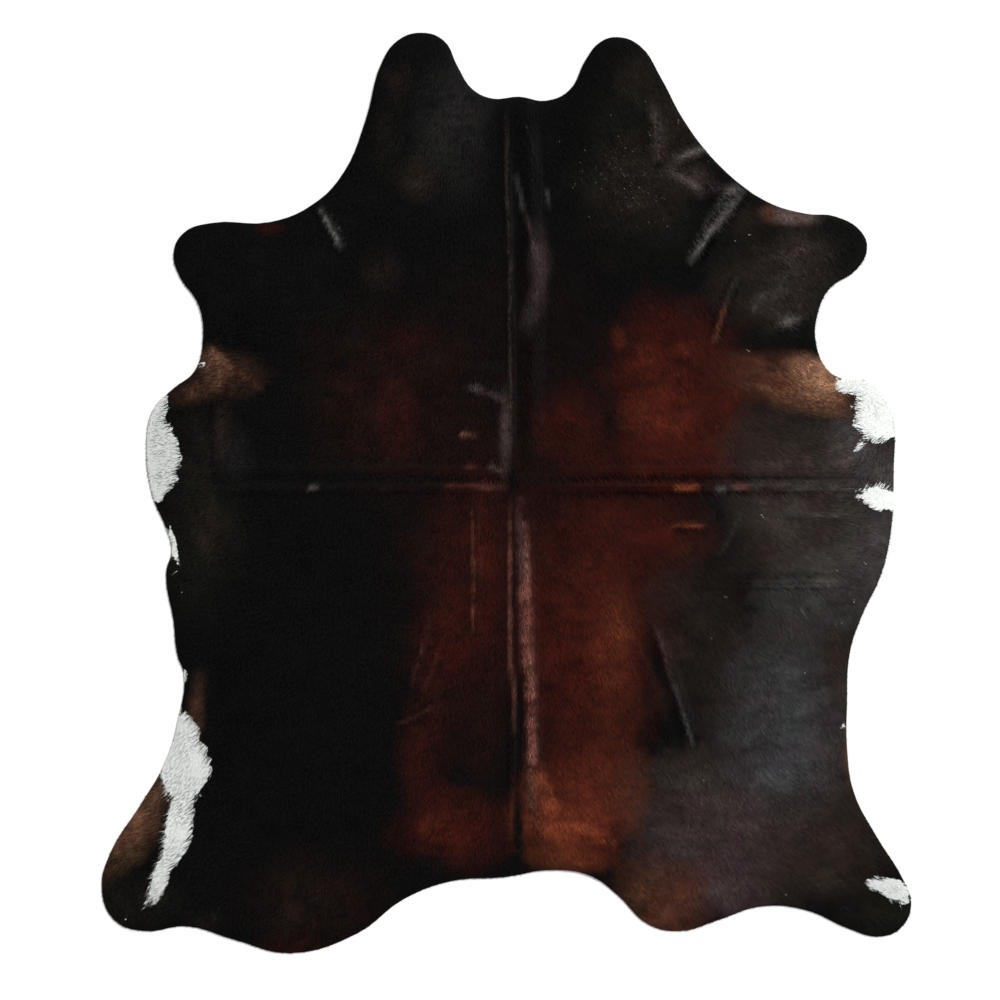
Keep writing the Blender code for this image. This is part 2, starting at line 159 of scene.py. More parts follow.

# Coloured zones of the coat, laid one over the other: ovals that fade to nothing at their reach.
# Most are the hair's own colour; the grey, violet and grey-brown ones are partly or wholly
# painted sheen, and the black at the fold crossing is painted shade.
TONES = (
    Tone("back, warm black", 0.030, -0.060, 0.400, 0.800, 0, "warm_black", 0.55),
    # faint painted grey sheen on the neck's left lobe
    Tone("neck left lobe", -0.125, 0.835, 0.110, 0.210, 0, "grey_sheen", 0.10),
    Tone("neck left lobe, brown tip", -0.252, 0.938, 0.050, 0.060, 0, "umber", 0.35),
    Tone("neck left lobe, rim side", -0.272, 0.812, 0.055, 0.110, 0, "olive", 0.60),
    Tone("neck left lobe, brown middle", -0.199, 0.720, 0.065, 0.065, 0, "umber", 0.40),
    Tone("left shoulder, brown", -0.279, 0.513, 0.070, 0.060, 0, "umber", 0.40),
    Tone("neck right lobe", 0.330, 0.770, 0.190, 0.290, 0, "olive", 0.85),
    Tone("neck right lobe, brown tip", 0.290, 0.950, 0.070, 0.080, 0, "umber", 0.30),
    Tone("neck right, speckled", 0.312, 0.715, 0.130, 0.130, 0, "umber", 0.50),
    Tone("neck right wrinkle, rim side", 0.380, 0.850, 0.045, 0.100, 30, "umber", 0.50),
    # painted sheen on the neck's right wrinkle, partly grey-brown hair
    Tone("neck right wrinkle", 0.412, 0.728, 0.110, 0.055, -28, "greige_and_sheen", 0.80),
    Tone("right foreleg", 0.640, 0.500, 0.210, 0.230, 0, "olive", 1.00),
    Tone("right foreleg, brown top", 0.652, 0.636, 0.085, 0.028, -8, "brown", 0.68),
    Tone("right foreleg, orange spot", 0.600, 0.643, 0.026, 0.026, 0, "rust", 0.75),
    Tone("right foreleg, brown front", 0.545, 0.622, 0.065, 0.055, 0, "umber", 0.40),
    Tone("right foreleg, brown", 0.550, 0.450, 0.110, 0.110, 0, "umber", 0.50),
    # painted sheen on the right foreleg's swell, partly grey-brown hair
    Tone("right foreleg, grey", 0.648, 0.530, 0.130, 0.095, 0, "greige_and_sheen", 0.78),
    Tone("right foreleg, grey, low", 0.640, 0.430, 0.095, 0.085, 0, "greige_and_sheen", 0.90),
    Tone("right foreleg, pale spot", 0.648, 0.392, 0.040, 0.022, 15, "grey_sheen", 0.70),
    Tone("right shoulder, edge", 0.385, 0.235, 0.235, 0.250, 0, "dark_red", 0.90),
    Tone("right shoulder", 0.372, 0.235, 0.188, 0.250, 0, "red_brown", 1.00),
    Tone("right shoulder, armpit side", 0.520, 0.205, 0.090, 0.120, 0, "red_brown", 0.60),
    Tone("right shoulder, upper spot", 0.318, 0.300, 0.050, 0.056, 0, "chestnut", 0.45),
    Tone("right shoulder, upper rim spot", 0.404, 0.326, 0.036, 0.024, 0, "chestnut", 0.45),
    Tone("right shoulder, front spot", 0.254, 0.356, 0.026, 0.036, 0, "chestnut", 0.40),
    Tone("right shoulder, brightest", 0.362, 0.165, 0.130, 0.080, -10, "chestnut", 0.50),
    Tone("right shoulder, low", 0.340, 0.070, 0.210, 0.080, 0, "red_brown", 0.65),
    Tone("right shoulder, low rim", 0.490, 0.110, 0.100, 0.110, 0, "red_brown", 0.70),
    Tone("right shoulder, by the spine", 0.146, 0.150, 0.095, 0.110, 20, "red_brown", 0.65),
    Tone("right shoulder, dark gap", 0.232, 0.176, 0.022, 0.090, -10, "black", 0.45),
    Tone("left shoulder", -0.279, 0.215, 0.270, 0.270, 0, "warm_black", 0.90),
    Tone("left shoulder, brighter", -0.250, 0.175, 0.060, 0.120, 0, "dark_red", 0.95),
    Tone("left shoulder, flecks", -0.225, 0.345, 0.070, 0.045, 0, "dark_red", 0.75),
    Tone("right loin, red side", 0.330, -0.250, 0.130, 0.250, 0, "dark_red", 0.50),
    Tone("right loin", 0.410, -0.280, 0.210, 0.290, 0, "umber", 0.50),
    # painted sheen low on the right loin, partly grey-brown hair
    Tone("right loin, low", 0.430, -0.690, 0.170, 0.140, 0, "greige_and_sheen", 0.90),
    Tone("back, right of the spine", 0.180, -0.330, 0.195, 0.500, 0, "red_brown", 0.95),
    Tone("back, right, behind the fold", 0.330, -0.080, 0.160, 0.130, 0, "red_brown", 0.80),
    Tone("back, right, bright", 0.242, -0.415, 0.075, 0.290, 0, "chestnut", 0.48),
    Tone("back, right, brightest", 0.258, -0.300, 0.045, 0.090, 0, "russet", 0.25),
    Tone("croup", 0.165, -0.715, 0.175, 0.190, 0, "chestnut", 0.88),
    Tone("croup, bright", 0.110, -0.755, 0.110, 0.080, -15, "russet", 0.40),
    Tone("croup, rim", 0.145, -0.840, 0.130, 0.040, -6, "russet", 0.40),
    Tone("croup, hip side", 0.290, -0.690, 0.060, 0.130, 0, "rust", 0.55),
    Tone("back, left of the spine", -0.078, -0.230, 0.160, 0.410, -4, "dark_red", 0.95),
    Tone("back, left, by the wrinkle", -0.045, -0.150, 0.055, 0.210, 0, "red_brown", 0.60),
    Tone("back, left, tufts", -0.145, -0.350, 0.075, 0.160, -8, "red_brown", 0.50),
    Tone("back, left, low", -0.115, -0.765, 0.170, 0.130, 0, "red_brown", 0.85),
    Tone("back, left, low bright", -0.172, -0.765, 0.050, 0.045, 0, "chestnut", 0.30),
    Tone("back, left, hip side", -0.190, -0.590, 0.072, 0.200, 0, "red_brown", 0.45),
    Tone("back, left, dark gap", -0.060, -0.560, 0.052, 0.130, 0, "warm_black", 0.85),
    # painted shade where the spine fold's crease crosses the cross fold's
    Tone("fold crossing", 0.018, 0.022, 0.022, 0.045, 0, "black", 0.95),
    Tone("left rump lobe", -0.430, -0.930, 0.240, 0.150, 0, "warm_black", 0.60),
    Tone("left rump lobe, brown", -0.475, -0.940, 0.160, 0.120, 0, "umber", 0.16),
    Tone("left rump lobe, rim", -0.498, -1.040, 0.100, 0.045, 0, "dark_red", 0.45),
    # painted sheen over the right flank, partly grey-brown hair, in pale grey towards the rim
    Tone("right flank", 0.690, -0.010, 0.240, 0.295, 0, "greige_and_sheen", 1.00),
    Tone("right flank, front", 0.610, 0.120, 0.160, 0.080, 0, "umber", 0.55),
    Tone("right flank, grey", 0.785, 0.115, 0.070, 0.110, 0, "grey_sheen", 0.50),
    Tone("right flank, rim, front", 0.862, 0.072, 0.080, 0.090, 0, "grey_sheen", 0.45),
    Tone("right flank, pale rim", 0.850, -0.120, 0.110, 0.180, 0, "grey_sheen", 0.38),
    Tone("right flank, low", 0.725, -0.250, 0.170, 0.160, 0, "grey_sheen", 0.30),
    # painted sheen on the right hip's swell, in grey-brown, blue-grey and violet
    Tone("right hip", 0.655, -0.590, 0.270, 0.400, 0, "greige_and_sheen", 1.00),
    Tone("right hip, sheen", 0.635, -0.560, 0.180, 0.300, 0, "blue_grey_sheen", 1.00),
    Tone("right hip, low", 0.480, -0.800, 0.230, 0.150, 0, "violet_sheen", 0.75),
    Tone("right rump lobe, grey side", 0.530, -0.905, 0.140, 0.085, 0, "violet_sheen", 0.75),
    Tone("right rump lobe", 0.360, -0.935, 0.160, 0.150, 0, "rust", 0.90),
    Tone("right hind leg", 0.740, -0.830, 0.200, 0.160, 0, "umber", 0.85),
    Tone("right hind leg, dark end", 0.850, -0.960, 0.140, 0.070, 0, "olive", 0.95),
    Tone("right rim", 0.768, -0.420, 0.045, 0.110, 0, "umber", 0.85),
    Tone("right rim, low", 0.788, -0.600, 0.016, 0.100, 0, "tan", 0.40),
    Tone("right armpit, broad", 0.625, 0.262, 0.175, 0.082, -8, "rust", 0.64),
    Tone("right armpit, orange", 0.640, 0.235, 0.080, 0.045, -10, "russet", 0.25),
    Tone("right armpit, fawn", 0.710, 0.268, 0.092, 0.055, -10, "fawn", 1.00),
    Tone("right armpit, low", 0.708, 0.208, 0.120, 0.040, -5, "tan", 1.00),
    Tone("left armpit, broad", -0.645, 0.272, 0.110, 0.072, 0, "tan", 0.24),
    Tone("left armpit, fawn", -0.676, 0.290, 0.042, 0.042, 0, "fawn", 0.22),
    Tone("left armpit, rim", -0.700, 0.238, 0.095, 0.034, 15, "tan", 0.42),
    Tone("left belly", -0.705, -0.030, 0.110, 0.320, 0, "olive", 0.95),
    Tone("left belly, brown", -0.692, -0.075, 0.050, 0.100, 0, "umber", 0.34),
    Tone("left belly, brown front", -0.652, 0.140, 0.036, 0.080, 0, "umber", 0.42),
    # painted blue-grey sheen on the left belly
    Tone("left belly, grey", -0.612, 0.085, 0.045, 0.090, 0, "blue_grey_sheen", 0.14),
    Tone("left hind leg, shank", -0.862, -0.775, 0.170, 0.062, 58, "tan", 0.75),
    Tone("left hind leg, shank, pale", -0.820, -0.706, 0.085, 0.030, 60, "fawn", 0.12),
    Tone("left hind leg, shank, dark", -0.840, -0.945, 0.110, 0.080, 0, "olive", 0.80),
    Tone("left hind leg, sliver", -0.712, -0.505, 0.120, 0.026, 82, "tan", 0.30),
    Tone("left hind leg, toe", -0.690, -0.985, 0.060, 0.025, 0, "umber", 0.30),
    Tone("left neck, red spot", -0.544, 0.610, 0.040, 0.018, 0, "red_brown", 0.50),
    # painted violet sheen on the spine fold's lips at the neck and shoulders
    Tone("spine, neck, sheen", 0.077, 0.520, 0.034, 0.120, 0, "violet_sheen", 0.60),
    Tone("spine, neck, sheen, low", 0.056, 0.415, 0.024, 0.070, -8, "violet_sheen", 0.60),
    Tone("spine, shoulders, lip", 0.002, 0.140, 0.020, 0.130, 0, "violet_sheen", 0.80),
)

# Narrow marks along a line: painted sheen on a fold's lip, painted shade in its valley and on a
# ridge's shaded side, and a few marks of the hair's own colour.
STREAKS = (
    # painted highlight on the spine fold's thin left lip, painted sheen on the neck's right wrinkles
    Streak("spine, neck, thin lip", -0.004, 0.900, 0.014, 0.030, 0.002, 0.0055, "greige_and_sheen", 0.80),
    Streak("neck right wrinkle, upper", 0.337, 0.908, 0.356, 0.752, -0.002, 0.028, "greige_and_sheen", 0.8),
    Streak("neck right wrinkle, arm", 0.360, 0.744, 0.464, 0.798, 0.003, 0.022, "greige_and_sheen", 1.00),
    Streak("neck right wrinkle, arm, pale", 0.378, 0.756, 0.462, 0.797, 0.003, 0.010, "grey_sheen", 0.40),
    Streak("neck right wrinkle, lower", 0.352, 0.762, 0.462, 0.683, 0.004, 0.034, "greige_and_sheen", 1.00),
    Streak("neck right wrinkle, pale", 0.378, 0.734, 0.458, 0.684, 0.004, 0.014, "grey_sheen", 0.35),
    Streak("neck right wrinkle, end", 0.455, 0.703, 0.536, 0.692, 0.002, 0.013, "violet_sheen", 0.70),
    # painted sheen on the spine fold's right lip at the neck
    Streak("spine, neck, right lip, top", 0.024, 0.745, 0.040, 0.640, 0.000, 0.0100, "grey_sheen", 0.30),
    Streak("spine, neck, right lip", 0.036, 0.670, 0.072, 0.520, 0.003, 0.0100, "violet_sheen", 0.60),
    Streak("spine, neck, short line", 0.094, 0.704, 0.101, 0.655, 0.000, 0.0080, "grey_sheen", 0.25),
    # painted shade in the spine fold's valley at the neck
    Streak("spine, neck, valley", 0.022, 0.900, 0.024, 0.030, 0.002, 0.0060, "black", 0.90),
    # painted sheen on the spine fold's lips at the tail
    Streak("spine, tail, left lip", 0.012, -0.005, 0.013, -0.560, 0.000, 0.0065, "rose_sheen", 0.62),
    Streak("spine, tail, right lip", 0.036, -0.005, 0.059, -0.770, 0.003, 0.0200, "rose_sheen", 0.98),
    Streak("spine, tail, pale front", 0.035, -0.005, 0.040, -0.240, 0.000, 0.0120, "violet_sheen", 0.60),
    Streak("croup arc, upper", 0.054, -0.610, 0.118, -0.840, 0.016, 0.0270, "russet", 0.95),
    Streak("croup arc, lower", 0.088, -0.770, 0.262, -0.812, 0.014, 0.0270, "russet", 0.50),
    # painted shade in the spine fold's valley at the tail
    Streak("spine, tail, valley", 0.023, -0.010, 0.026, -0.880, 0.000, 0.0060, "black", 0.95),
    Streak("spine, tail, wedge", 0.029, -0.690, 0.029, -0.890, 0.000, 0.0170, "black", 1.00),
    # painted shade in the cross fold's right valley, painted sheen on its lip and its pale and rose
    # spots
    Streak("cross fold, right, valley", 0.240, 0.0345, 0.840, 0.0340, 0.0, 0.0085, "black", 0.70),
    Streak("cross fold, right, lip", 0.450, 0.0125, 0.850, 0.0115, 0.000, 0.0080, "grey_sheen", 0.38),
    Streak("cross fold, orange spot", 0.378, 0.0150, 0.450, 0.0150, 0.0, 0.0095, "russet", 1.00),
    Streak("cross fold, pale spot", 0.478, 0.0100, 0.506, 0.0100, 0.0, 0.0110, "grey_sheen", 1.00),
    Streak("cross fold, rose spot", 0.518, 0.0140, 0.565, 0.0130, 0.0, 0.0095, "rose_sheen", 1.00),
    Streak("loin, orange fleck", 0.376, -0.072, 0.455, -0.078, 0.003, 0.0080, "russet", 0.80),
    # painted shade in the cross fold's left valley; painted highlight on its lip, in umber, and on
    # its rose and pale spots
    Streak("cross fold, left, valley", -0.720, 0.0260, 0.0, 0.0340, 0.0, 0.0060, "black", 0.80),
    Streak("cross fold, left, lip", -0.720, 0.0100, 0.000, 0.0140, 0.0, 0.0050, "umber", 0.14),
    Streak("cross fold, left, orange", -0.140, 0.0150, -0.060, 0.0140, 0.0, 0.0080, "russet", 0.28),
    Streak("cross fold, left, rose", -0.078, 0.0120, 0.014, 0.0090, 0.000, 0.0080, "rose_sheen", 0.60),
    Streak("cross fold, left spot", -0.457, 0.0140, -0.428, 0.0140, 0.0, 0.0080, "grey_sheen", 0.70),
    # the rose spot and the pale mark left of the spine are painted sheen; the fleck is hair colour
    Streak("left of the spine, spot", -0.109, 0.1330, -0.064, 0.1310, 0.0, 0.0080, "rose_sheen", 0.55),
    Streak("left of the spine, fleck", -0.098, 0.0600, -0.062, 0.0570, 0.0, 0.0080, "rust", 0.50),
    Streak("left of the spine, pale", -0.044, 0.0600, 0.004, 0.0480, 0.0, 0.0090, "violet_sheen", 0.90),
    # painted highlight on the left rib wrinkle's lip
    Streak("left rib wrinkle", -0.080, -0.016, -0.077, -0.338, 0.006, 0.0045, "rose_sheen", 0.45),
    # painted shade on the right hip wrinkle's shaded side, painted sheen on its lips
    Streak("right hip, dark side", 0.312, -0.300, 0.402, -0.610, 0.005, 0.0300, "black", 0.70),
    Streak("right hip wrinkle", 0.326, -0.280, 0.380, -0.440, 0.004, 0.0080, "violet_sheen", 0.60),
    Streak("right hip wrinkle, low", 0.368, -0.400, 0.430, -0.590, 0.003, 0.0085, "grey_sheen", 0.40),
    # painted shade on the right shoulder streak's shaded side, painted sheen on its ridges
    Streak("right shoulder, dark side", 0.490, 0.680, 0.396, 0.560, 0.000, 0.0200, "black", 0.7),
    Streak("right shoulder streak, top", 0.542, 0.708, 0.466, 0.590, -0.004, 0.0280, "grey_sheen", 1.00),
    Streak("right shoulder streak", 0.492, 0.640, 0.418, 0.524, -0.003, 0.0150, "grey_sheen", 0.85),
    Streak("right shoulder thin streak", 0.534, 0.500, 0.500, 0.420, -0.004, 0.009, "greige_and_sheen", 1.0),
    Streak("right shoulder thin end", 0.508, 0.440, 0.476, 0.335, -0.004, 0.010, "rust", 0.9),
    Streak("right armpit, dark line", 0.500, 0.336, 0.760, 0.336, 0.000, 0.0180, "black", 0.92),
    Streak("right armpit, upper tuft", 0.535, 0.310, 0.662, 0.270, 0.004, 0.0110, "rust", 0.80),
    Streak("right armpit, middle tuft", 0.556, 0.282, 0.676, 0.248, 0.005, 0.0100, "tan", 0.60),
    Streak("right armpit, lower tuft", 0.528, 0.252, 0.652, 0.220, 0.004, 0.0110, "tan", 0.60),
    Streak("right armpit, low tuft", 0.630, 0.236, 0.795, 0.206, 0.004, 0.0150, "fawn", 0.30),
    Streak("left armpit, upper tuft", -0.682, 0.345, -0.660, 0.240, 0.004, 0.0120, "fawn", 0.26),
    Streak("left armpit, middle tuft", -0.668, 0.330, -0.620, 0.246, 0.004, 0.0110, "fawn", 0.20),
    Streak("left armpit, lower tuft", -0.640, 0.290, -0.560, 0.236, 0.004, 0.0110, "rust", 0.60),
    # painted sheen on the right foreleg's creases and the left shoulder's streak
    Streak("right foreleg, front line", 0.632, 0.496, 0.690, 0.572, 0.003, 0.0090, "grey_sheen", 0.40),
    Streak("right foreleg, middle line", 0.604, 0.440, 0.676, 0.536, 0.003, 0.0080, "grey_sheen", 0.25),
    Streak("right foreleg, low line", 0.560, 0.405, 0.600, 0.470, 0.002, 0.0100, "grey_sheen", 0.30),
    Streak("left shoulder streak", -0.436, 0.660, -0.376, 0.556, 0.004, 0.0080, "grey_sheen", 0.75),
    # painted violet sheen on the smear left of the spine
    Streak("left of the spine, smear", -0.104, 0.246, 0.004, 0.212, 0.003, 0.015, "violet_sheen", 0.80),
    Streak("left of the spine, faint", -0.070, 0.296, 0.000, 0.284, 0.003, 0.012, "olive", 0.90),
    # painted highlight on the left hip lines' lips
    Streak("left hip line, upper", -0.176, -0.268, -0.222, -0.450, 0.004, 0.008, "rose_sheen", 0.14),
    Streak("left hip line, middle", -0.152, -0.350, -0.196, -0.460, 0.004, 0.008, "rose_sheen", 0.09),
    Streak("left hip line, lower", -0.168, -0.488, -0.262, -0.534, 0.003, 0.007, "rose_sheen", 0.14),
    # painted sheen on the right flank's faint lips and creases, painted shade in their valleys
    Streak("right flank, faint lip", 0.640, -0.050, 0.800, -0.054, 0.002, 0.0090, "grey_sheen", 0.22),
    Streak("right flank, faint valley", 0.700, -0.066, 0.810, -0.067, 0.002, 0.0080, "black", 0.40),
    Streak("right flank, faint diagonal", 0.552, -0.030, 0.480, -0.154, 0.000, 0.006, "grey_sheen", 0.22),
    Streak("right flank crease", 0.490, -0.192, 0.790, -0.191, 0.002, 0.0060, "black", 0.60),
    Streak("right flank crease, lip", 0.560, -0.212, 0.770, -0.214, 0.002, 0.016, "grey_sheen", 0.20),
    Streak("right rib crease", 0.372, -0.052, 0.462, -0.056, 0.001, 0.0060, "black", 0.60),
    Streak("right flank, tick", 0.675, -0.262, 0.690, -0.290, 0.000, 0.0050, "grey_sheen", 0.90),
)

# Where the hair turns, in degrees, and how ruffled it lies there.
WHORLS = (
    Whorl("right belly", 0.860, 0.060, 0.140, 75, 0.30),
    Whorl("right armpit", 0.730, 0.260, 0.130, 30, 0.90),
    Whorl("left armpit", -0.650, 0.290, 0.120, -35, 0.80),
    Whorl("left belly", -0.800, 0.120, 0.130, -18, 0.30),
    Whorl("left hind leg", -0.800, -0.780, 0.200, -25, 0.20),
    Whorl("right hind leg", 0.860, -0.900, 0.160, 20, 0.30),
    Whorl("neck right lobe", 0.340, 0.760, 0.160, 15, 0.55),
    Whorl("right foreleg", 0.690, 0.490, 0.180, 8, 0.50),
)

# Small pale specks in the hair: how many short locks each has, and how pale they are.
SPECKS = (
    Speck("right rib", 0.585, -0.053, 2, 0.90),
    Speck("right flank, upper", 0.822, -0.161, 2, 0.85),
    Speck("right flank, lower", 0.796, -0.246, 2, 0.95),
    Speck("right flank, middle", 0.758, -0.175, 1, 0.45),
    Speck("right stifle, front", 0.712, -0.284, 1, 0.75),
    Speck("right stifle, back", 0.767, -0.297, 1, 0.75),
    Speck("right stifle, low", 0.684, -0.414, 1, 0.90),
    Speck("right loin", 0.503, -0.237, 2, 0.35),
    Speck("right loin, low", 0.471, -0.336, 1, 0.40),
    Speck("right hip", 0.450, -0.657, 1, 0.60),
    Speck("right rump", 0.638, -0.920, 1, 0.80),
    Speck("left flank, rim", -0.744, -0.228, 1, 0.80),
    Speck("left rib", -0.532, -0.251, 1, 0.35),
    Speck("right foreleg, front", 0.555, 0.594, 2, 0.85),
    Speck("right foreleg, low", 0.524, 0.580, 1, 0.45),
    Speck("right foreleg, back", 0.711, 0.513, 1, 0.25),
    Speck("neck, middle", 0.047, 0.842, 3, 0.12),
    Speck("neck, right rim", 0.393, 0.856, 2, 0.40),
    Speck("left rump", -0.661, -0.952, 1, 0.20),
    Speck("left shoulder", -0.466, 0.407, 1, 0.12),
    Speck("right armpit line", 0.554, 0.329, 3, 0.55),
)
SPECKLED = (0.295, 0.720, 0.065, 0.062)  # x, y and spreads of the neck's speckled zone
SPECKLES = 110

SCATTER = 0.42  # how far a lock's root strays from its place, in lock spacings
ROOT_GAP = 0.0004  # least distance of a root from the rim
ROOT_SUNK = 0.0004  # how deep a root lies in the coat
CROWN_AT = 0.32  # share of a lock's length from its root to its highest point
TIP_HEIGHT = 0.35  # height of a lock's tip, as a share of its crown's


def metres(name, description, default):
    """A length that a user can change."""
    return FloatProperty(name=name, description=description, default=default, unit="LENGTH")


def tint(name, description, *rgb):
    """A colour that a user can change."""
    return FloatVectorProperty(name=name, description=description, default=rgb, subtype="COLOR")


class SkinSizes(bpy.types.PropertyGroup):
    thickness: metres("Skin thickness", "Thickness of the tanned skin under the coat", 0.0020)
    flat_width: metres(
        "Flat width", "Width of the hide across its hind legs", float(HIDE_HIGH[0] - HIDE_LOW[0])
    )
    flat_length: metres(
        "Flat length",
        "Length of the hide from the neck's tips to the rump's",
        float(HIDE_HIGH[1] - HIDE_LOW[1]),
    )
    flat_area: FloatProperty(
        name="Flat area",
        description="Area that the hide covers, in square metres",
        default=2.86,
        unit="AREA",
    )
    leather: tint("Suede", "Colour of the napped underside", 0.42, 0.33, 0.24)
    cut_edge: tint("Cut edge", "Colour of the skin where the knife cut it", 0.50, 0.42, 0.33)


class CoatSizes(bpy.types.PropertyGroup):
    depth: metres("Coat depth", "How deep the flat-lying hair is on the skin", 0.0020)
    rim_depth: metres("Coat depth at the rim", "How deep the hair is at the cut edge", 0.0005)
    rim_reach: metres("Rim reach", "How far from the rim the coat grows to its depth", 0.0070)
    mesh_step: metres("Mesh step", "Size of the squares in the coat's surface", 0.0085)
    ripple: metres("Ripple", "How far the hide's small unevenness rises and sinks", 0.0008)


class HairSizes(bpy.types.PropertyGroup):
    spacing: metres("Lock spacing", "Distance between the roots of neighbouring locks", 0.0047)
    length: metres("Lock length", "Mean length of a hair lock", 0.0190)
    width: metres("Lock width", "Mean width of a hair lock at its root", 0.0024)
    speck: metres("Speck length", "Length of the short locks that make a pale speck", 0.0050)
    height: metres("Lock height", "How far a lock's crown stands over the coat", 0.0006)
    overhang: metres("Rim overhang", "How far the hair tips reach over the cut edge", 0.0040)
    fan: FloatProperty(
        name="Fan",
        description="How far the locks' directions differ from their neighbours'",
        default=math.radians(9),
        subtype="ANGLE",
    )
    groups: IntProperty(
        name="Groups",
        description="Number of pieces that the locks are joined into, from neck to rump",
        default=4,
    )


class CoatColours(bpy.types.PropertyGroup):
    black: tint("Black", "The coat's main colour", 0.0012, 0.0011, 0.0011)
    warm_black: tint("Warm black", "Black hair with a breath of red", 0.0085, 0.0024, 0.0015)
    olive: tint("Weathered black", "Slightly green-brown black hair", 0.0060, 0.0057, 0.0038)
    umber: tint("Umber", "Dark brown hair", 0.0200, 0.0125, 0.0090)
    brown: tint("Brown", "Dull brown hair on the foreleg", 0.125, 0.088, 0.074)
    dark_red: tint("Dark red", "Deep red-brown, left of the spine", 0.0185, 0.0027, 0.0017)
    red_brown: tint("Red-brown", "Hair of the shoulder and back", 0.0370, 0.0047, 0.0026)
    chestnut: tint("Chestnut", "The brightest red-brown hair", 0.085, 0.0150, 0.0065)
    russet: tint("Russet", "Orange-brown hair over the tail", 0.150, 0.034, 0.013)
    rust: tint("Rust", "Dull reddish hair on the rump", 0.066, 0.022, 0.0125)
    tan: tint("Tan", "Brown hair round the armpits and on the shank", 0.100, 0.046, 0.026)
    fawn: tint("Fawn", "Pale brown hair in the armpits", 0.300, 0.150, 0.088)
    # painted light: grey-brown is partly the hair's own colour and partly painted sheen
    greige_and_sheen: tint("Grey-brown", "Grey-brown sheen of the flank", 0.0290, 0.0205, 0.0175)
    # painted sheen: pale grey, laid on the lips of folds and on swells
    grey_sheen: tint("Ash", "Pale grey sheen on a fold", 0.085, 0.078, 0.074)
    # painted sheen: blue-grey, on the right hip's swell and the left belly
    blue_grey_sheen: tint("Slate", "Blue-grey sheen of the hip", 0.0355, 0.0340, 0.0365)
    # painted sheen: violet-grey, on the spine fold's lips and the right hip
    violet_sheen: tint("Mauve", "Faint violet sheen on the spine", 0.044, 0.0285, 0.0290)
    # painted sheen: rose, on the lips of the folds and wrinkles of the red back
    rose_sheen: tint("Rose", "Reddish sheen on the folds of the back", 0.140, 0.052, 0.040)
    white: tint("White", "The white markings", 0.74, 0.76, 0.74)


class StageSettings(bpy.types.PropertyGroup):
    camera_height: metres("Camera height", "Height of the camera over the floor", 6.0)
    view_width: metres("View width", "Width of floor that the camera takes in", 2.300)
    view_x: metres("View centre, X", "Where the camera looks down on the floor", -0.0150)
    view_y: metres("View centre, Y", "Where the camera looks down on the floor", -0.0161)
    floor_colour: tint("Floor", "Colour of the plain floor", 0.86, 0.86, 0.86)
    key: FloatProperty(
        name="Key light",
        description="Strength of the soft light from the front right",
        default=3.3,
        min=0.0,
    )
    sky: FloatProperty(
        name="Sky light",
        description="Strength of the even light from all round",
        default=0.50,
        min=0.0,
    )


def clouds(points, cell, seed):
    """Smooth random values from -1 to 1 over the (x, y) points, with lumps about a cell wide."""
    draw = np.random.default_rng(SEED + seed)
    low = np.floor(points.min(axis=0) / cell) - 1
    count = (np.floor(points.max(axis=0) / cell) - low + 3).astype(int)
    lattice = draw.uniform(-1, 1, count)
    place = points / cell - low
    corner = np.floor(place).astype(int)
    share = place - corner
    share = share * share * (3 - 2 * share)
    i, j = corner.T
    u, v = share.T
    near = lattice[i, j] * (1 - u) + lattice[i + 1, j] * u
    far = lattice[i, j + 1] * (1 - u) + lattice[i + 1, j + 1] * u
    return near * (1 - v) + far * v


def line_shares(line, points):
    """How far along a ridge or streak each (x, y) is, and how far aside of its crest."""
    start = np.array((line.x0, line.y0))
    way = np.array((line.x1, line.y1)) - start
    length = np.hypot(*way)
    left = np.array((-way[1], way[0])) / length
    along = (points - start) @ way / length**2
    aside = (points - start) @ left - line.bow * 4 * along * (1 - along)
    return along, aside


def line_shape(line, points, end):
    """1 on the line's crest, falling to 0 at its half width and over its two ends."""
    along, aside = line_shares(line, points)
    across = np.clip(np.abs(aside) / line.half_width, 0, 1)
    fade = np.clip(np.minimum(along, 1 - along) / end, 0, 1)
    return (1 + np.cos(math.pi * across)) / 2 * np.sin(fade * math.pi / 2)


def oval_radius(oval, reach_x, reach_y, points):
    """Distance from the oval's middle in shares of its reach, after its turn."""
    turn = math.radians(getattr(oval, "turn", 0))
    offset = points - (oval.x, oval.y)
    along = offset @ (math.cos(turn), math.sin(turn))
    aside = offset @ (-math.sin(turn), math.cos(turn))
    return np.hypot(along / reach_x, aside / reach_y)


def lift(points):
    """Height of the hide's underside over the floor at each (x, y)."""
    height = np.zeros(len(points))
    for ridge in RIDGES:
        height += ridge.height * line_shape(ridge, points, RIDGE_END)
    for swell in SWELLS:
        away = oval_radius(swell, swell.reach_x, swell.reach_y, points)
        height += swell.height * np.clip(1 - away**2, 0, 1) ** 2
    return height


def hide_copy():
    """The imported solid's top, merged, flattened, finely split and thickened to a closed sheet."""
    sheet = bmesh.new()
    sheet.from_mesh(HIDE.data)
    bmesh.ops.remove_doubles(sheet, verts=sheet.verts, dist=SLIVER)
    others = [face for face in sheet.faces if face_side(face) != "top"]
    bmesh.ops.delete(sheet, geom=others, context="FACES")
    set_heights(sheet, [0.0] * len(sheet.verts))
    bmesh.ops.dissolve_degenerate(sheet, dist=SLIVER, edges=sheet.edges)
    split_long_edges(sheet, LONGEST_EDGE)
    bmesh.ops.dissolve_degenerate(sheet, dist=SLIVER, edges=sheet.edges)
    bmesh.ops.solidify(sheet, geom=list(sheet.faces), thickness=SHEET_THICKNESS)
    bmesh.ops.recalc_face_normals(sheet, faces=sheet.faces)
    return sheet


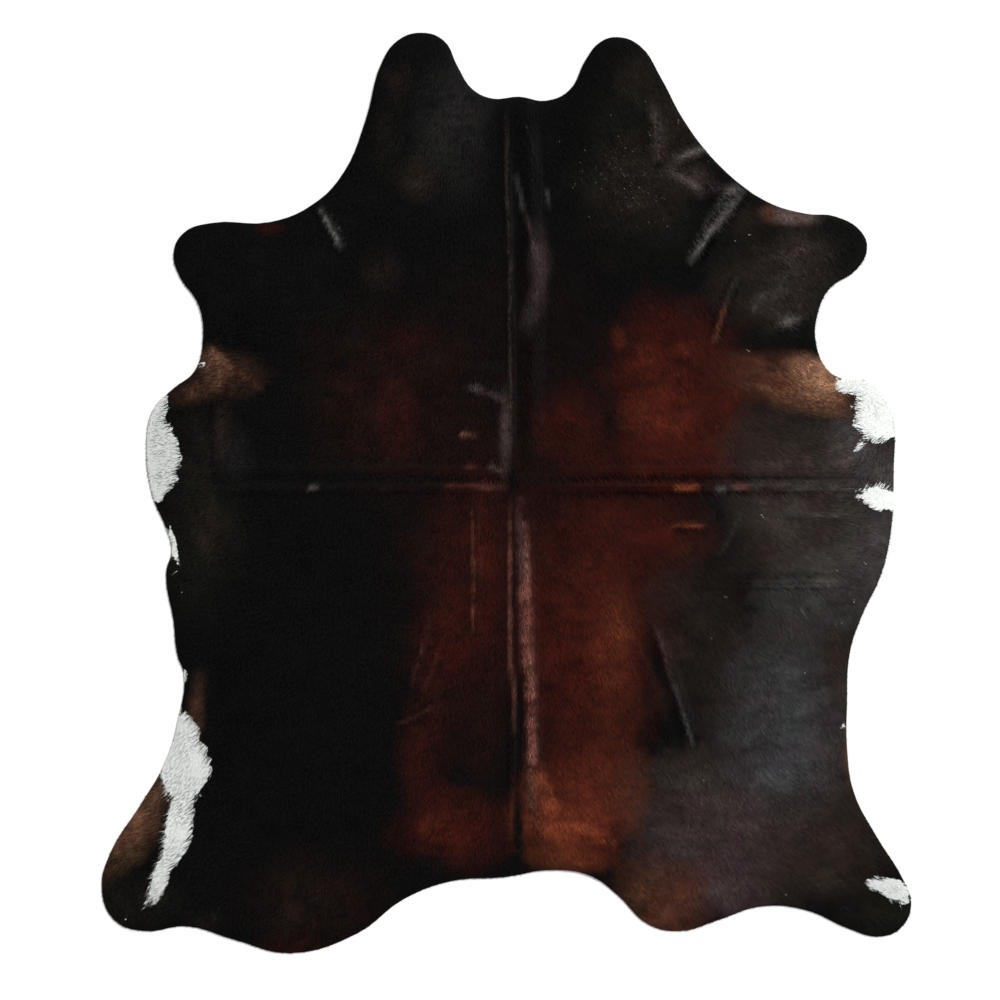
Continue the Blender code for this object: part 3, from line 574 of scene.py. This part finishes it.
def rim_of(sheet):
    """Start and end points, as two arrays of (x, y), of the edges round the sheet's top."""
    rim = [edge for edge in sheet.edges if len({face_side(face) for face in edge.link_faces}) == 2]
    rim = [edge for edge in rim if any(face_side(face) == "top" for face in edge.link_faces)]
    ends = np.array([[tuple(vertex.co)[:2] for vertex in edge.verts] for edge in rim])
    return ends[:, 0], ends[:, 1]


def face_side(face):
    """Whether a face of the sheet is on its top, its underside or its cut edge."""
    if face.normal.z > FACING_UP:
        return "top"
    return "underside" if face.normal.z < -FACING_UP else "edge"


def rim_distance(rim, points):
    """Distance from each (x, y) to the rim, below zero outside it."""
    starts, ends = rim
    ways = ends - starts
    squares = (ways**2).sum(axis=1)
    distances = []
    for block in np.array_split(points, max(1, len(points) // 8000)):
        offsets = block[:, None] - starts
        share = np.clip((offsets * ways).sum(axis=2) / squares, 0, 1)
        nearest = offsets - share[:, :, None] * ways
        away = np.sqrt((nearest**2).sum(axis=2).min(axis=1))
        rise = np.where(np.abs(ways[:, 1]) < 1e-12, 1e-12, ways[:, 1])
        crossed = (starts[:, 1] > block[:, None, 1]) != (ends[:, 1] > block[:, None, 1])
        reach = starts[:, 0] + offsets[:, :, 1] * ways[:, 0] / rise
        within = np.count_nonzero(crossed & (reach > block[:, None, 0]), axis=1) % 2
        distances.append(np.where(within == 1, away, -away))
    return np.concatenate(distances)


def ripples(points, size):
    """Small unevenness of the tanned skin."""
    wide = clouds(points, 0.085, 1) * 0.6
    return size * (wide + clouds(points, 0.034, 2) * 0.3 + clouds(points, 0.015, 3) * 0.1)


def coat_top(rim_gap, points, skin, coat):
    """Height of the coat's surface at each (x, y), thinner near the rim."""
    grown = 1 - np.exp(-np.clip(rim_gap, 0, None) / coat.rim_reach)
    depth = coat.rim_depth + (coat.depth - coat.rim_depth) * grown
    return lift(points) + skin.thickness + depth + grown * ripples(points, coat.ripple)


def hair_way(points):
    """Unit vector along which the hair lies at each (x, y): back, out and round the whorls."""
    x, y = points.T
    out = x / (np.abs(x) + 0.22)
    belly = np.exp(-(((y - 0.05) / 0.36) ** 2))
    back = 1 - 0.88 * belly * np.clip(np.abs(x) / 0.85, 0, 1) ** 1.5
    angle = np.arctan2(-back, out)
    for whorl in WHORLS:
        away = oval_radius(whorl, whorl.reach, whorl.reach, points)
        angle += math.radians(whorl.turn) * np.clip(1 - away**2, 0, 1) ** 2
    angle += 0.20 * clouds(points, 0.110, 4) + 0.10 * clouds(points, 0.035, 5)
    return np.column_stack((np.cos(angle), np.sin(angle)))


def ruffle(points):
    """How untidy the hair lies, from 0 to 1."""
    amount = np.zeros(len(points))
    for whorl in WHORLS:
        away = oval_radius(whorl, whorl.reach, whorl.reach, points)
        amount += whorl.ruffle * np.clip(1 - away**2, 0, 1)
    return np.clip(amount, 0, 1)


def hair_streaks(points, way, width, seed):
    """Random values that are alike along the hair and differ across it."""
    steps = np.arange(-3, 4) * width * 1.6
    values = sum(clouds(points + way * step, width, seed) for step in steps)
    return values / math.sqrt(len(steps)) * 1.4


def white_markings(points, way):
    """How deep in a ragged white marking each (x, y) is, below zero outside, and its shade."""
    ragged = hair_streaks(points, way, 0.006, 12) * 0.7 + hair_streaks(points, way, 0.016, 13)
    deepest = np.full(len(points), -1.0)
    shades = np.ones(len(points))
    # a patch's shade is partly its white's own tone and partly painted shade
    for patch in PATCHES:
        away = oval_radius(patch, patch.half_length, patch.half_width, points)
        narrow = min(patch.half_length, patch.half_width)
        depth = (1 - away) * narrow + RAGGED * ragged * min(1, narrow / RAGGED_FROM)
        shades = np.where(depth > deepest, patch.shade, shades)
        deepest = np.maximum(deepest, depth)
    return deepest, shades


def coat_tones_and_painted_light(points, way, colours):
    """The coat's colour and painted sheen and shade at each (x, y), without its white markings."""
    drift = np.column_stack((clouds(points, 0.120, 6), clouds(points, 0.120, 7))) * 0.026
    drift += np.column_stack((clouds(points, 0.040, 8), clouds(points, 0.040, 9))) * 0.013
    streaks = hair_streaks(points, way, 0.0070, 10)
    tufts = hair_streaks(points, way, 0.0180, 14)
    mottle = clouds(points, 0.050, 11)
    flecks = clouds(points, 0.021, 15)
    warmth = 0.6 * clouds(points, 0.060, 16) + 0.6 * clouds(points, 0.024, 17)
    ragged = 0.07 * streaks + 0.09 * tufts + 0.06 * mottle + 0.05 * flecks
    uneven = 0.22 * streaks + 0.18 * tufts + 0.20 * mottle + 0.10 * flecks
    colour = np.tile(np.array(colours.black), (len(points), 1))

    def blend(share, name):
        near = share > 0
        part = np.clip(share[near], 0, 1)[:, None]
        colour[near] = colour[near] * (1 - part) + np.array(getattr(colours, name)) * part

    for tone in TONES:
        place = points + drift * min(1, min(tone.reach_x, tone.reach_y) / FULL_DRIFT)
        away = oval_radius(tone, tone.reach_x, tone.reach_y, place) + ragged
        blend(tone.amount * np.clip(1 - away**2, 0, 1) ** 1.3 * (1 + uneven), tone.colour)
    for streak in STREAKS:
        shape = streak.amount * line_shape(streak, points + drift * 0.14, 0.30)
        patchy = min(1, streak.half_width / FULL_PATCHY)
        broken = patchy * (0.45 * streaks + 0.30 * tufts + 0.40 * flecks)
        blend(shape * (1 + broken), streak.colour)
    contrast = 0.20 + 0.30 * ruffle(points)
    shade = contrast * (streaks + 0.6 * tufts) + 0.13 * mottle + 0.14 * flecks
    hue = np.exp(warmth[:, None] * WARMTH)
    return colour * hue * np.exp(shade)[:, None]


def new_material(name):
    """A new material and its node tree."""
    material = bpy.data.materials.new(name)
    material.use_nodes = True
    return material, material.node_tree


def link_chain(tree, *sockets):
    """Links each pair of sockets, (from, to), in the tree."""
    for source, target in zip(sockets[::2], sockets[1::2]):
        tree.links.new(source, target)


def attribute_node(tree, name):
    """A node that reads one of the piece's own attributes."""
    node = tree.nodes.new("ShaderNodeAttribute")
    node.attribute_name = name
    return node


def set_hair_gloss(shader):
    """The faint gloss and sheen of short black hair."""
    shader.inputs["Specular IOR Level"].default_value = 0.05
    shader.inputs["Sheen Weight"].default_value = 0.012
    shader.inputs["Sheen Roughness"].default_value = 0.45
    shader.inputs["Sheen Tint"].default_value = (0.72, 0.68, 0.70, 1.0)


def noise_node(tree, coordinates, scale, detail, roughness=0.5):
    noise = tree.nodes.new("ShaderNodeTexNoise")
    noise.inputs["Scale"].default_value = scale
    noise.inputs["Detail"].default_value = detail
    noise.inputs["Roughness"].default_value = roughness
    tree.links.new(coordinates, noise.inputs["Vector"])
    return noise.outputs["Fac"]


def range_node(tree, value, low, high, new_low, new_high):
    spread = tree.nodes.new("ShaderNodeMapRange")
    tree.links.new(value, spread.inputs["Value"])
    settings = (("From Min", low), ("From Max", high), ("To Min", new_low), ("To Max", new_high))
    for name, number in settings:
        spread.inputs[name].default_value = number
    return spread.outputs["Result"]


def scaled_colour(tree, colour, factor):
    """The colour times a value that changes over the surface."""
    scale = tree.nodes.new("ShaderNodeVectorMath")
    scale.operation = "SCALE"
    tree.links.new(colour, scale.inputs[0])
    tree.links.new(factor, scale.inputs["Scale"])
    return scale.outputs["Vector"]


def bump_node(tree, height, distance, strength):
    bump = tree.nodes.new("ShaderNodeBump")
    bump.inputs["Distance"].default_value = distance
    bump.inputs["Strength"].default_value = strength
    tree.links.new(height, bump.inputs["Height"])
    return bump.outputs["Normal"]


def coat_material():
    """Short hair: its attribute's tone with painted sheen and shade, jagged white markings, fine
    grain.
    """
    material, tree = new_material("short cow hair")
    shader = tree.nodes["Principled BSDF"]
    place = tree.nodes.new("ShaderNodeTexCoord").outputs["Object"]
    tone = attribute_node(tree, "hair_tone_and_painted_light")
    white = attribute_node(tree, "white_tone_and_painted_shade")
    depth = attribute_node(tree, "white_depth")

    ragged = range_node(tree, noise_node(tree, place, 110, 3, 0.6), 0.25, 0.75, -0.003, 0.003)
    edge = tree.nodes.new("ShaderNodeMath")
    edge.operation = "ADD"
    link_chain(tree, depth.outputs["Fac"], edge.inputs[0], ragged, edge.inputs[1])
    marked = range_node(tree, edge.outputs["Value"], -0.0007, 0.0007, 0.0, 1.0)

    white_grain = range_node(tree, noise_node(tree, place, 60, 4, 0.6), 0.3, 0.7, 0.92, 1.05)
    # the white's attribute holds each patch's shade, partly painted shade
    white_hair = scaled_colour(tree, white.outputs["Color"], white_grain)

    blend = tree.nodes.new("ShaderNodeMix")
    blend.data_type = "RGBA"
    link_chain(
        tree, marked, blend.inputs["Factor"], tone.outputs["Color"], blend.inputs["A"],
        white_hair, blend.inputs["B"],
    )
    grain = noise_node(tree, place, 420, 3, 0.65)
    fine = range_node(tree, grain, 0.3, 0.7, 0.72, 1.26)
    link_chain(tree, scaled_colour(tree, blend.outputs["Result"], fine), shader.inputs["Base Color"])
    gloss = range_node(tree, noise_node(tree, place, 22, 2), 0.3, 0.7, 0.46, 0.62)
    link_chain(tree, gloss, shader.inputs["Roughness"])
    link_chain(tree, bump_node(tree, grain, 0.0006, 0.6), shader.inputs["Normal"])
    set_hair_gloss(shader)
    return material


def lock_material():
    """A hair lock: its own tone with painted sheen and shade, a little uneven along it, and a soft
    gloss.
    """
    material, tree = new_material("cow hair locks")
    shader = tree.nodes["Principled BSDF"]
    place = tree.nodes.new("ShaderNodeTexCoord").outputs["Object"]
    tone = attribute_node(tree, "hair_tone_and_painted_light")
    fine = range_node(tree, noise_node(tree, place, 300, 2), 0.3, 0.7, 0.85, 1.15)
    link_chain(tree, scaled_colour(tree, tone.outputs["Color"], fine), shader.inputs["Base Color"])
    gloss = range_node(tree, noise_node(tree, place, 22, 2), 0.3, 0.7, 0.40, 0.56)
    link_chain(tree, gloss, shader.inputs["Roughness"])
    set_hair_gloss(shader)
    return material


def suede_material(skin):
    """The napped flesh side: brushed patches, fine nap and a few paler scrapes."""
    material, tree = new_material("hide suede")
    shader = tree.nodes["Principled BSDF"]
    place = tree.nodes.new("ShaderNodeTexCoord").outputs["Object"]
    base = tree.nodes.new("ShaderNodeRGB")
    base.outputs[0].default_value = (*skin.leather, 1.0)
    brushed = range_node(tree, noise_node(tree, place, 5.5, 5, 0.62), 0.3, 0.7, 0.80, 1.14)
    nap = noise_node(tree, place, 520, 4, 0.7)
    fine = range_node(tree, nap, 0.3, 0.7, 0.90, 1.08)
    stretch = tree.nodes.new("ShaderNodeMapping")
    stretch.inputs["Rotation"].default_value = (0.0, 0.0, math.radians(24))
    stretch.inputs["Scale"].default_value = (3.0, 42.0, 1.0)
    link_chain(tree, place, stretch.inputs["Vector"])
    scraped = noise_node(tree, stretch.outputs["Vector"], 1.6, 3, 0.6)
    scrapes = range_node(tree, scraped, 0.60, 0.76, 1.0, 1.16)
    toned = scaled_colour(tree, scaled_colour(tree, base.outputs[0], brushed), fine)
    link_chain(tree, scaled_colour(tree, toned, scrapes), shader.inputs["Base Color"])
    link_chain(tree, bump_node(tree, nap, 0.0005, 0.5), shader.inputs["Normal"])
    shader.inputs["Roughness"].default_value = 0.92
    shader.inputs["Specular IOR Level"].default_value = 0.20
    shader.inputs["Sheen Weight"].default_value = 0.25
    shader.inputs["Sheen Roughness"].default_value = 0.6
    shader.inputs["Sheen Tint"].default_value = (0.80, 0.72, 0.62, 1.0)
    return material


def edge_material(skin):
    """The knife-cut edge: layered fibres, paler than the suede."""
    material, tree = new_material("hide cut edge")
    shader = tree.nodes["Principled BSDF"]
    place = tree.nodes.new("ShaderNodeTexCoord").outputs["Object"]
    base = tree.nodes.new("ShaderNodeRGB")
    base.outputs[0].default_value = (*skin.cut_edge, 1.0)
    layers = tree.nodes.new("ShaderNodeMapping")
    layers.inputs["Scale"].default_value = (90.0, 90.0, 2400.0)
    link_chain(tree, place, layers.inputs["Vector"])
    fibres = noise_node(tree, layers.outputs["Vector"], 1.0, 3, 0.6)
    shade = range_node(tree, fibres, 0.3, 0.7, 0.70, 1.12)
    link_chain(tree, scaled_colour(tree, base.outputs[0], shade), shader.inputs["Base Color"])
    link_chain(tree, bump_node(tree, fibres, 0.0002, 0.6), shader.inputs["Normal"])
    shader.inputs["Roughness"].default_value = 0.85
    shader.inputs["Specular IOR Level"].default_value = 0.25
    return material


def floor_material(stage):
    material, tree = new_material("plain floor")
    shader = tree.nodes["Principled BSDF"]
    shader.inputs["Base Color"].default_value = (*stage.floor_colour, 1.0)
    shader.inputs["Roughness"].default_value = 0.9
    shader.inputs["Specular IOR Level"].default_value = 0.1
    return material


def new_piece(name, mesh, *materials):
    """An object for a finished mesh, riding on the hide's only body in the hide's stead."""
    piece = bpy.data.objects.new(name, mesh)
    for material in materials:
        mesh.materials.append(material)
    bpy.context.scene.collection.objects.link(piece)
    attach(piece, "root")
    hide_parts("hide")
    return piece


def mesh_points(sheet):
    """The sheet's vertices as an array."""
    return np.array([tuple(vertex.co) for vertex in sheet.verts])


def set_heights(sheet, heights):
    for vertex, height in zip(sheet.verts, heights):
        vertex.co.z = height


def split_long_edges(sheet, longest):
    """Halves the sheet's long edges, up to a few times over."""
    for _ in range(MOST_SPLITS):
        long_edges = [edge for edge in sheet.edges if edge.calc_length() > longest]
        if not long_edges:
            break
        bmesh.ops.subdivide_edges(sheet, edges=long_edges, cuts=1)
        bmesh.ops.triangulate(sheet, faces=[face for face in sheet.faces if len(face.verts) > 3])


def cut_to_grid(sheet, side, step):
    """Makes one side of the flat sheet a grid of even squares, cut off at the rim."""
    faces = [face for face in sheet.faces if face_side(face) == side]
    pieces = bmesh.ops.dissolve_faces(sheet, faces=faces)["region"]
    pieces += {edge for face in pieces for edge in face.edges}
    for axis in (0, 1):
        for place in np.arange(HIDE_LOW[axis] + step / 2, HIDE_HIGH[axis], step):
            spot, way = np.zeros(3), np.zeros(3)
            spot[axis], way[axis] = place, 1
            cut = bmesh.ops.bisect_plane(
                sheet, geom=pieces, dist=step * 0.05, plane_co=spot, plane_no=way
            )
            pieces = cut["geom"]
    bmesh.ops.triangulate(sheet, faces=[face for face in sheet.faces if len(face.verts) > 3])
    sheet.normal_update()


def flat_uv(points):
    """The (x, y) points on a unit square with a small margin."""
    size = (HIDE_HIGH - HIDE_LOW)[:2].max()
    return 0.01 + 0.98 * (points - HIDE_LOW[:2]) / size


def lay_uv(sheet, shown_side):
    """A straight-down map: the shown side over the square, all others in its free corner."""
    layer = sheet.loops.layers.uv.new(UV_NAME)
    for face in sheet.faces:
        shown = face_side(face) == shown_side
        for loop in face.loops:
            u, v = flat_uv(np.array(loop.vert.co[:2]))
            loop[layer].uv = (u, v) if shown else (0.90 + 0.09 * u, 0.90 + 0.09 * v)


def make_skin_piece(skin):
    """The tanned skin: the solid's own outline and folds, with a suede underside."""
    sheet = hide_copy()
    tops = {vertex for face in sheet.faces if face_side(face) == "top" for vertex in face.verts}
    lay_uv(sheet, "underside")
    for face in sheet.faces:
        face.material_index = 1 if face_side(face) == "edge" else 0
        face.smooth = face_side(face) != "edge"
    points = mesh_points(sheet)
    heights = lift(points[:, :2]) + [skin.thickness * (vertex in tops) for vertex in sheet.verts]
    set_heights(sheet, heights)
    mesh = bpy.data.meshes.new("tanned_skin")
    sheet.to_mesh(mesh)
    sheet.free()
    piece = new_piece("tanned_skin", mesh, suede_material(skin), edge_material(skin))
    return piece


def set_colours(mesh, name, colours):
    """Gives each vertex of the mesh its colour, as an attribute."""
    layer = mesh.attributes.new(name, "FLOAT_COLOR", "POINT")
    opaque = np.column_stack((colours, np.ones(len(colours))))
    layer.data.foreach_set("color", opaque.astype(np.float32).ravel())


def make_coat_piece(skin, coat, colours):
    """The coat's surface: fine on top, and set into the skin underneath."""
    sheet = hide_copy()
    rim = rim_of(sheet)
    cut_to_grid(sheet, "top", coat.mesh_step)
    tops = {vertex for face in sheet.faces if face_side(face) == "top" for vertex in face.verts}
    lay_uv(sheet, "top")
    points = mesh_points(sheet)[:, :2]
    surface = coat_top(rim_distance(rim, points), points, skin, coat)
    base = lift(points) + skin.thickness * COAT_BASE
    on_top = np.array([vertex in tops for vertex in sheet.verts])
    set_heights(sheet, np.where(on_top, surface, base))
    for face in sheet.faces:
        face.smooth = face_side(face) == "top"
    mesh = bpy.data.meshes.new("coat_surface")
    sheet.to_mesh(mesh)
    sheet.free()
    way = hair_way(points)
    depth, shades = white_markings(points, way)
    set_colours(mesh, "hair_tone_and_painted_light", coat_tones_and_painted_light(points, way, colours))
    # the white, with each patch's shade, partly painted shade
    set_colours(mesh, "white_tone_and_painted_shade", shades[:, None] * np.array(colours.white))
    depths = mesh.attributes.new("white_depth", "FLOAT", "POINT")
    depths.data.foreach_set("value", depth.astype(np.float32))
    piece = new_piece("coat_surface", mesh, coat_material())
    return piece


def hair_roots(hair, rim, draw):
    """Scattered points inside the rim, about a lock spacing apart, and their rim distances."""
    row = hair.spacing * math.sqrt(3) / 2
    xs = np.arange(HIDE_LOW[0], HIDE_HIGH[0], hair.spacing)
    ys = np.arange(HIDE_LOW[1], HIDE_HIGH[1], row)
    grid_x, grid_y = np.meshgrid(xs, ys)
    grid_x = grid_x + (np.arange(len(ys)) % 2 * hair.spacing / 2)[:, None]
    points = np.column_stack((grid_x.ravel(), grid_y.ravel()))
    points = points + draw.uniform(-SCATTER, SCATTER, points.shape) * hair.spacing
    gap = rim_distance(rim, points)
    kept = gap > ROOT_GAP
    return points[kept], gap[kept]


def lock_points(roots, gap, specks, skin, coat, hair, rim, draw):
    """Each lock's two root corners, crown and tip, as an array of (lock, corner, axis)."""
    count = len(roots)
    untidy = ruffle(roots)
    way = hair_way(roots)
    turn = draw.normal(0, 1, count) * (hair.fan + 0.45 * untidy)
    cos, sin = np.cos(turn), np.sin(turn)
    way = np.column_stack((way[:, 0] * cos - way[:, 1] * sin, way[:, 0] * sin + way[:, 1] * cos))
    aside = np.column_stack((-way[:, 1], way[:, 0]))
    length = hair.length * draw.uniform(0.65, 1.35, count) * (1 + 0.25 * untidy)
    length = np.where(specks > 0, hair.speck, length)
    length = np.minimum(length, gap + hair.overhang * draw.uniform(0.3, 1.0, count))
    width = hair.width * draw.uniform(0.65, 1.35, count)[:, None] / 2
    crown = roots + way * (length * CROWN_AT)[:, None]
    tip = roots + way * length[:, None]
    tip_gap = rim_distance(rim, tip)
    root_z = coat_top(gap, roots, skin, coat) - ROOT_SUNK
    crown_height = hair.height * draw.uniform(0.6, 1.5, count) * (1 + 1.3 * untidy)
    crown_height *= np.where(white_markings(roots, way)[0] > 0, SLEEK, 1)
    crown_z = coat_top(np.maximum(tip_gap, 0), crown, skin, coat) + crown_height
    tip_z = coat_top(tip_gap, tip, skin, coat) + crown_height * TIP_HEIGHT
    corners = np.empty((count, 4, 3))
    corners[:, 0, :2] = roots + aside * width
    corners[:, 1, :2] = roots - aside * width
    corners[:, 2, :2] = crown
    corners[:, 3, :2] = tip
    corners[:, :, 2] = np.column_stack((root_z, root_z, crown_z, tip_z))
    return corners, way


def speck_shades(roots, draw):
    """How pale each lock is that stands in a speck, and 0 for all others."""
    shades = np.zeros(len(roots))
    for speck in SPECKS:
        nearest = np.argsort(np.hypot(*(roots - (speck.x, speck.y)).T))[: speck.locks]
        shades[nearest] = speck.shade
    x, y, spread_x, spread_y = SPECKLED
    for spot in draw.normal(0, 1, (SPECKLES, 2)) * (spread_x, spread_y) + (x, y):
        shades[np.argmin(np.hypot(*(roots - spot).T))] = draw.uniform(0.08, 0.30)
    return shades


def lock_tones_and_painted_light(corners, way, specks, colours, draw):
    """Colour of each lock at its four corners, painted sheen and shade included, or one white all
    over.
    """
    count = len(corners)
    roots, crowns, tips = corners[:, :2, :2].mean(axis=1), corners[:, 2, :2], corners[:, 3, :2]
    zones = [coat_tones_and_painted_light(points, way, colours) for points in (roots, crowns, tips)]
    own = np.exp(draw.normal(0, 0.30, count))
    shade = own[:, None] * LOCK_SHADES
    tones = np.stack(zones, axis=1)[:, (0, 0, 1, 2)] * shade[:, :, None]
    depth, shades = white_markings(roots, way)
    white = depth + draw.normal(0, 0.0010, count) > 0
    # a white lock's shade is partly painted shade, darker on the left side's patches
    pale = np.where(specks > 0, specks, shades * draw.uniform(0.92, 1.04, count))
    pale = (pale[:, None] * PALE_SHADES)[:, :, None] * np.array(colours.white)
    return np.where((white | (specks > 0))[:, None, None], pale, tones)


LOCK_FACES = ((0, 3, 1), (0, 2, 3), (1, 3, 2), (0, 1, 2))  # underside, left, right and back
LOCK_SHADES = np.array((0.82, 0.82, 1.00, 1.22))  # of the two root corners, crown and tip
PALE_SHADES = np.array((0.92, 0.92, 1.00, 1.06))  # the same for white hair


def make_lock_mesh(name, corners, tones):
    """One mesh of many four-faced locks, each with its tone and painted light and its own spot on
    the map.
    """
    count = len(corners)
    mesh = bpy.data.meshes.new(name)
    mesh.vertices.add(count * 4)
    mesh.vertices.foreach_set("co", corners.astype(np.float32).ravel())
    faces = np.arange(count)[:, None, None] * 4 + np.array(LOCK_FACES)
    mesh.loops.add(faces.size)
    mesh.loops.foreach_set("vertex_index", faces.ravel().astype(np.int32))
    mesh.polygons.add(count * 4)
    mesh.polygons.foreach_set("loop_start", np.arange(0, faces.size, 3, dtype=np.int32))
    mesh.polygons.foreach_set("loop_total", np.full(count * 4, 3, np.int32))
    mesh.update(calc_edges=True)
    mesh.validate()
    set_colours(mesh, "hair_tone_and_painted_light", tones.reshape(-1, 3))
    side = math.ceil(math.sqrt(count))
    cell = np.column_stack((np.arange(count) % side, np.arange(count) // side))
    spot = np.array(((0.15, 0.15), (0.85, 0.15), (0.5, 0.5), (0.5, 0.9)))
    uv = ((cell[:, None] + spot) / side).reshape(-1, 2)[faces.ravel()]
    layer = mesh.uv_layers.new(name=UV_NAME)
    layer.uv.foreach_set("vector", uv.astype(np.float32).ravel())
    return mesh


def make_lock_pieces(skin, coat, hair, colours):
    """The hair locks, joined into a few pieces in bands from the neck to the rump."""
    draw = np.random.default_rng(SEED)
    sheet = hide_copy()
    rim = rim_of(sheet)
    sheet.free()
    roots, gap = hair_roots(hair, rim, draw)
    order = np.argsort(-roots[:, 1], kind="stable")
    roots, gap = roots[order], gap[order]
    specks = speck_shades(roots, draw)
    corners, way = lock_points(roots, gap, specks, skin, coat, hair, rim, draw)
    tones = lock_tones_and_painted_light(corners, way, specks, colours, draw)
    material = lock_material()
    pieces = []
    bands = zip(np.array_split(corners, hair.groups), np.array_split(tones, hair.groups))
    for number, (band, band_tones) in enumerate(bands, 1):
        name = f"hair_locks_{number}"
        piece = new_piece(name, make_lock_mesh(name, band, band_tones), material)
        pieces.append(piece)
    return pieces


def aim(thing, target):
    """Turns a light or camera so that it looks at the target."""
    way = Vector(target) - thing.location
    thing.rotation_euler = way.to_track_quat("-Z", "Y").to_euler()


def make_stage(stage):
    """A plain pale floor, an even sky, a soft key light and the straight-down camera."""
    scene = bpy.context.scene
    plane = bmesh.new()
    bmesh.ops.create_grid(plane, x_segments=1, y_segments=1, size=40.0)
    mesh = bpy.data.meshes.new("floor")
    plane.to_mesh(mesh)
    plane.free()
    mesh.materials.append(floor_material(stage))
    floor = bpy.data.objects.new("floor", mesh)
    floor.location.z = -0.0005
    scene.collection.objects.link(floor)

    sky = bpy.data.worlds.new("studio")
    sky.use_nodes = True
    background = sky.node_tree.nodes["Background"]
    background.inputs["Color"].default_value = (1.0, 1.0, 1.0, 1.0)
    background.inputs["Strength"].default_value = stage.sky
    scene.world = sky

    key = bpy.data.lights.new("key", "SUN")
    key.energy = stage.key
    key.angle = math.radians(24)
    lamp = bpy.data.objects.new("key", key)
    lamp.location = (3.4, 3.0, 4.2)
    aim(lamp, (0.0, 0.0, 0.0))
    scene.collection.objects.link(lamp)

    lens = bpy.data.cameras.new("camera")
    lens.sensor_fit = "HORIZONTAL"
    lens.angle = 2 * math.atan(stage.view_width / 2 / stage.camera_height)
    lens.clip_end = 100.0
    camera = bpy.data.objects.new("camera", lens)
    camera.location = (stage.view_x, stage.view_y, stage.camera_height)
    scene.collection.objects.link(camera)
    scene.camera = camera
    scene.view_settings.view_transform = "Standard"


class COWHIDE_OT_skin(bpy.types.Operator):
    """Make the tanned skin, with its suede underside and its cut edge"""

    bl_idname = "cowhide.skin"
    bl_label = "Tanned skin"

    def execute(self, context):
        make_skin_piece(context.scene.cowhide_skin)
        return {"FINISHED"}


class COWHIDE_OT_coat(bpy.types.Operator):
    """Make the coat's surface, with its tones, painted sheen and shade, and white markings"""

    bl_idname = "cowhide.coat"
    bl_label = "Coat surface"

    def execute(self, context):
        scene = context.scene
        make_coat_piece(scene.cowhide_skin, scene.cowhide_coat, scene.cowhide_colours)
        return {"FINISHED"}


class COWHIDE_OT_locks(bpy.types.Operator):
    bl_idname = "cowhide.locks"
    bl_label = "Hair locks"

    def execute(self, context):
        scene = context.scene
        skin = bpy.data.objects.get("tanned_skin")
        surface = bpy.data.objects.get("coat_surface")
        if skin is None or surface is None:
            raise RuntimeError("make the tanned skin and the coat surface before the locks")
        locks = make_lock_pieces(
            scene.cowhide_skin, scene.cowhide_coat, scene.cowhide_hair, scene.cowhide_colours
        )
        return {"FINISHED"}


class COWHIDE_OT_stage(bpy.types.Operator):
    """Set the floor, the lights and the camera"""

    bl_idname = "cowhide.stage"
    bl_label = "Stage"

    def execute(self, context):
        make_stage(context.scene.cowhide_stage)
        return {"FINISHED"}


class COWHIDE_PT_rug(bpy.types.Panel):
    """Sizes, colours and pieces of the cowhide rug"""

    bl_idname = "COWHIDE_PT_rug"
    bl_label = "Cowhide rug"
    bl_space_type = "VIEW_3D"
    bl_region_type = "UI"
    bl_category = "Cowhide"

    def draw(self, context):
        for name, group in SETTINGS.items():
            box = self.layout.box()
            box.label(text=group.__name__)
            for key in group.__annotations__:
                box.prop(getattr(context.scene, name), key)
        for operator in OPERATORS:
            self.layout.operator(operator.bl_idname)


SETTINGS = {
    "cowhide_skin": SkinSizes,
    "cowhide_coat": CoatSizes,
    "cowhide_hair": HairSizes,
    "cowhide_colours": CoatColours,
    "cowhide_stage": StageSettings,
}
OPERATORS = (COWHIDE_OT_stage, COWHIDE_OT_skin, COWHIDE_OT_coat, COWHIDE_OT_locks)
CLASSES = (*SETTINGS.values(), *OPERATORS, COWHIDE_PT_rug)


def register():
    for kind in CLASSES:
        bpy.utils.register_class(kind)
    for name, group in SETTINGS.items():
        setattr(bpy.types.Scene, name, PointerProperty(type=group))


def unregister():
    for name in SETTINGS:
        delattr(bpy.types.Scene, name)
    for kind in reversed(CLASSES):
        bpy.utils.unregister_class(kind)


def main():
    register()
    bpy.ops.cowhide.stage()
    bpy.ops.cowhide.skin()
    bpy.ops.cowhide.coat()
    bpy.ops.cowhide.locks()


if __name__ == "__main__":
    main()
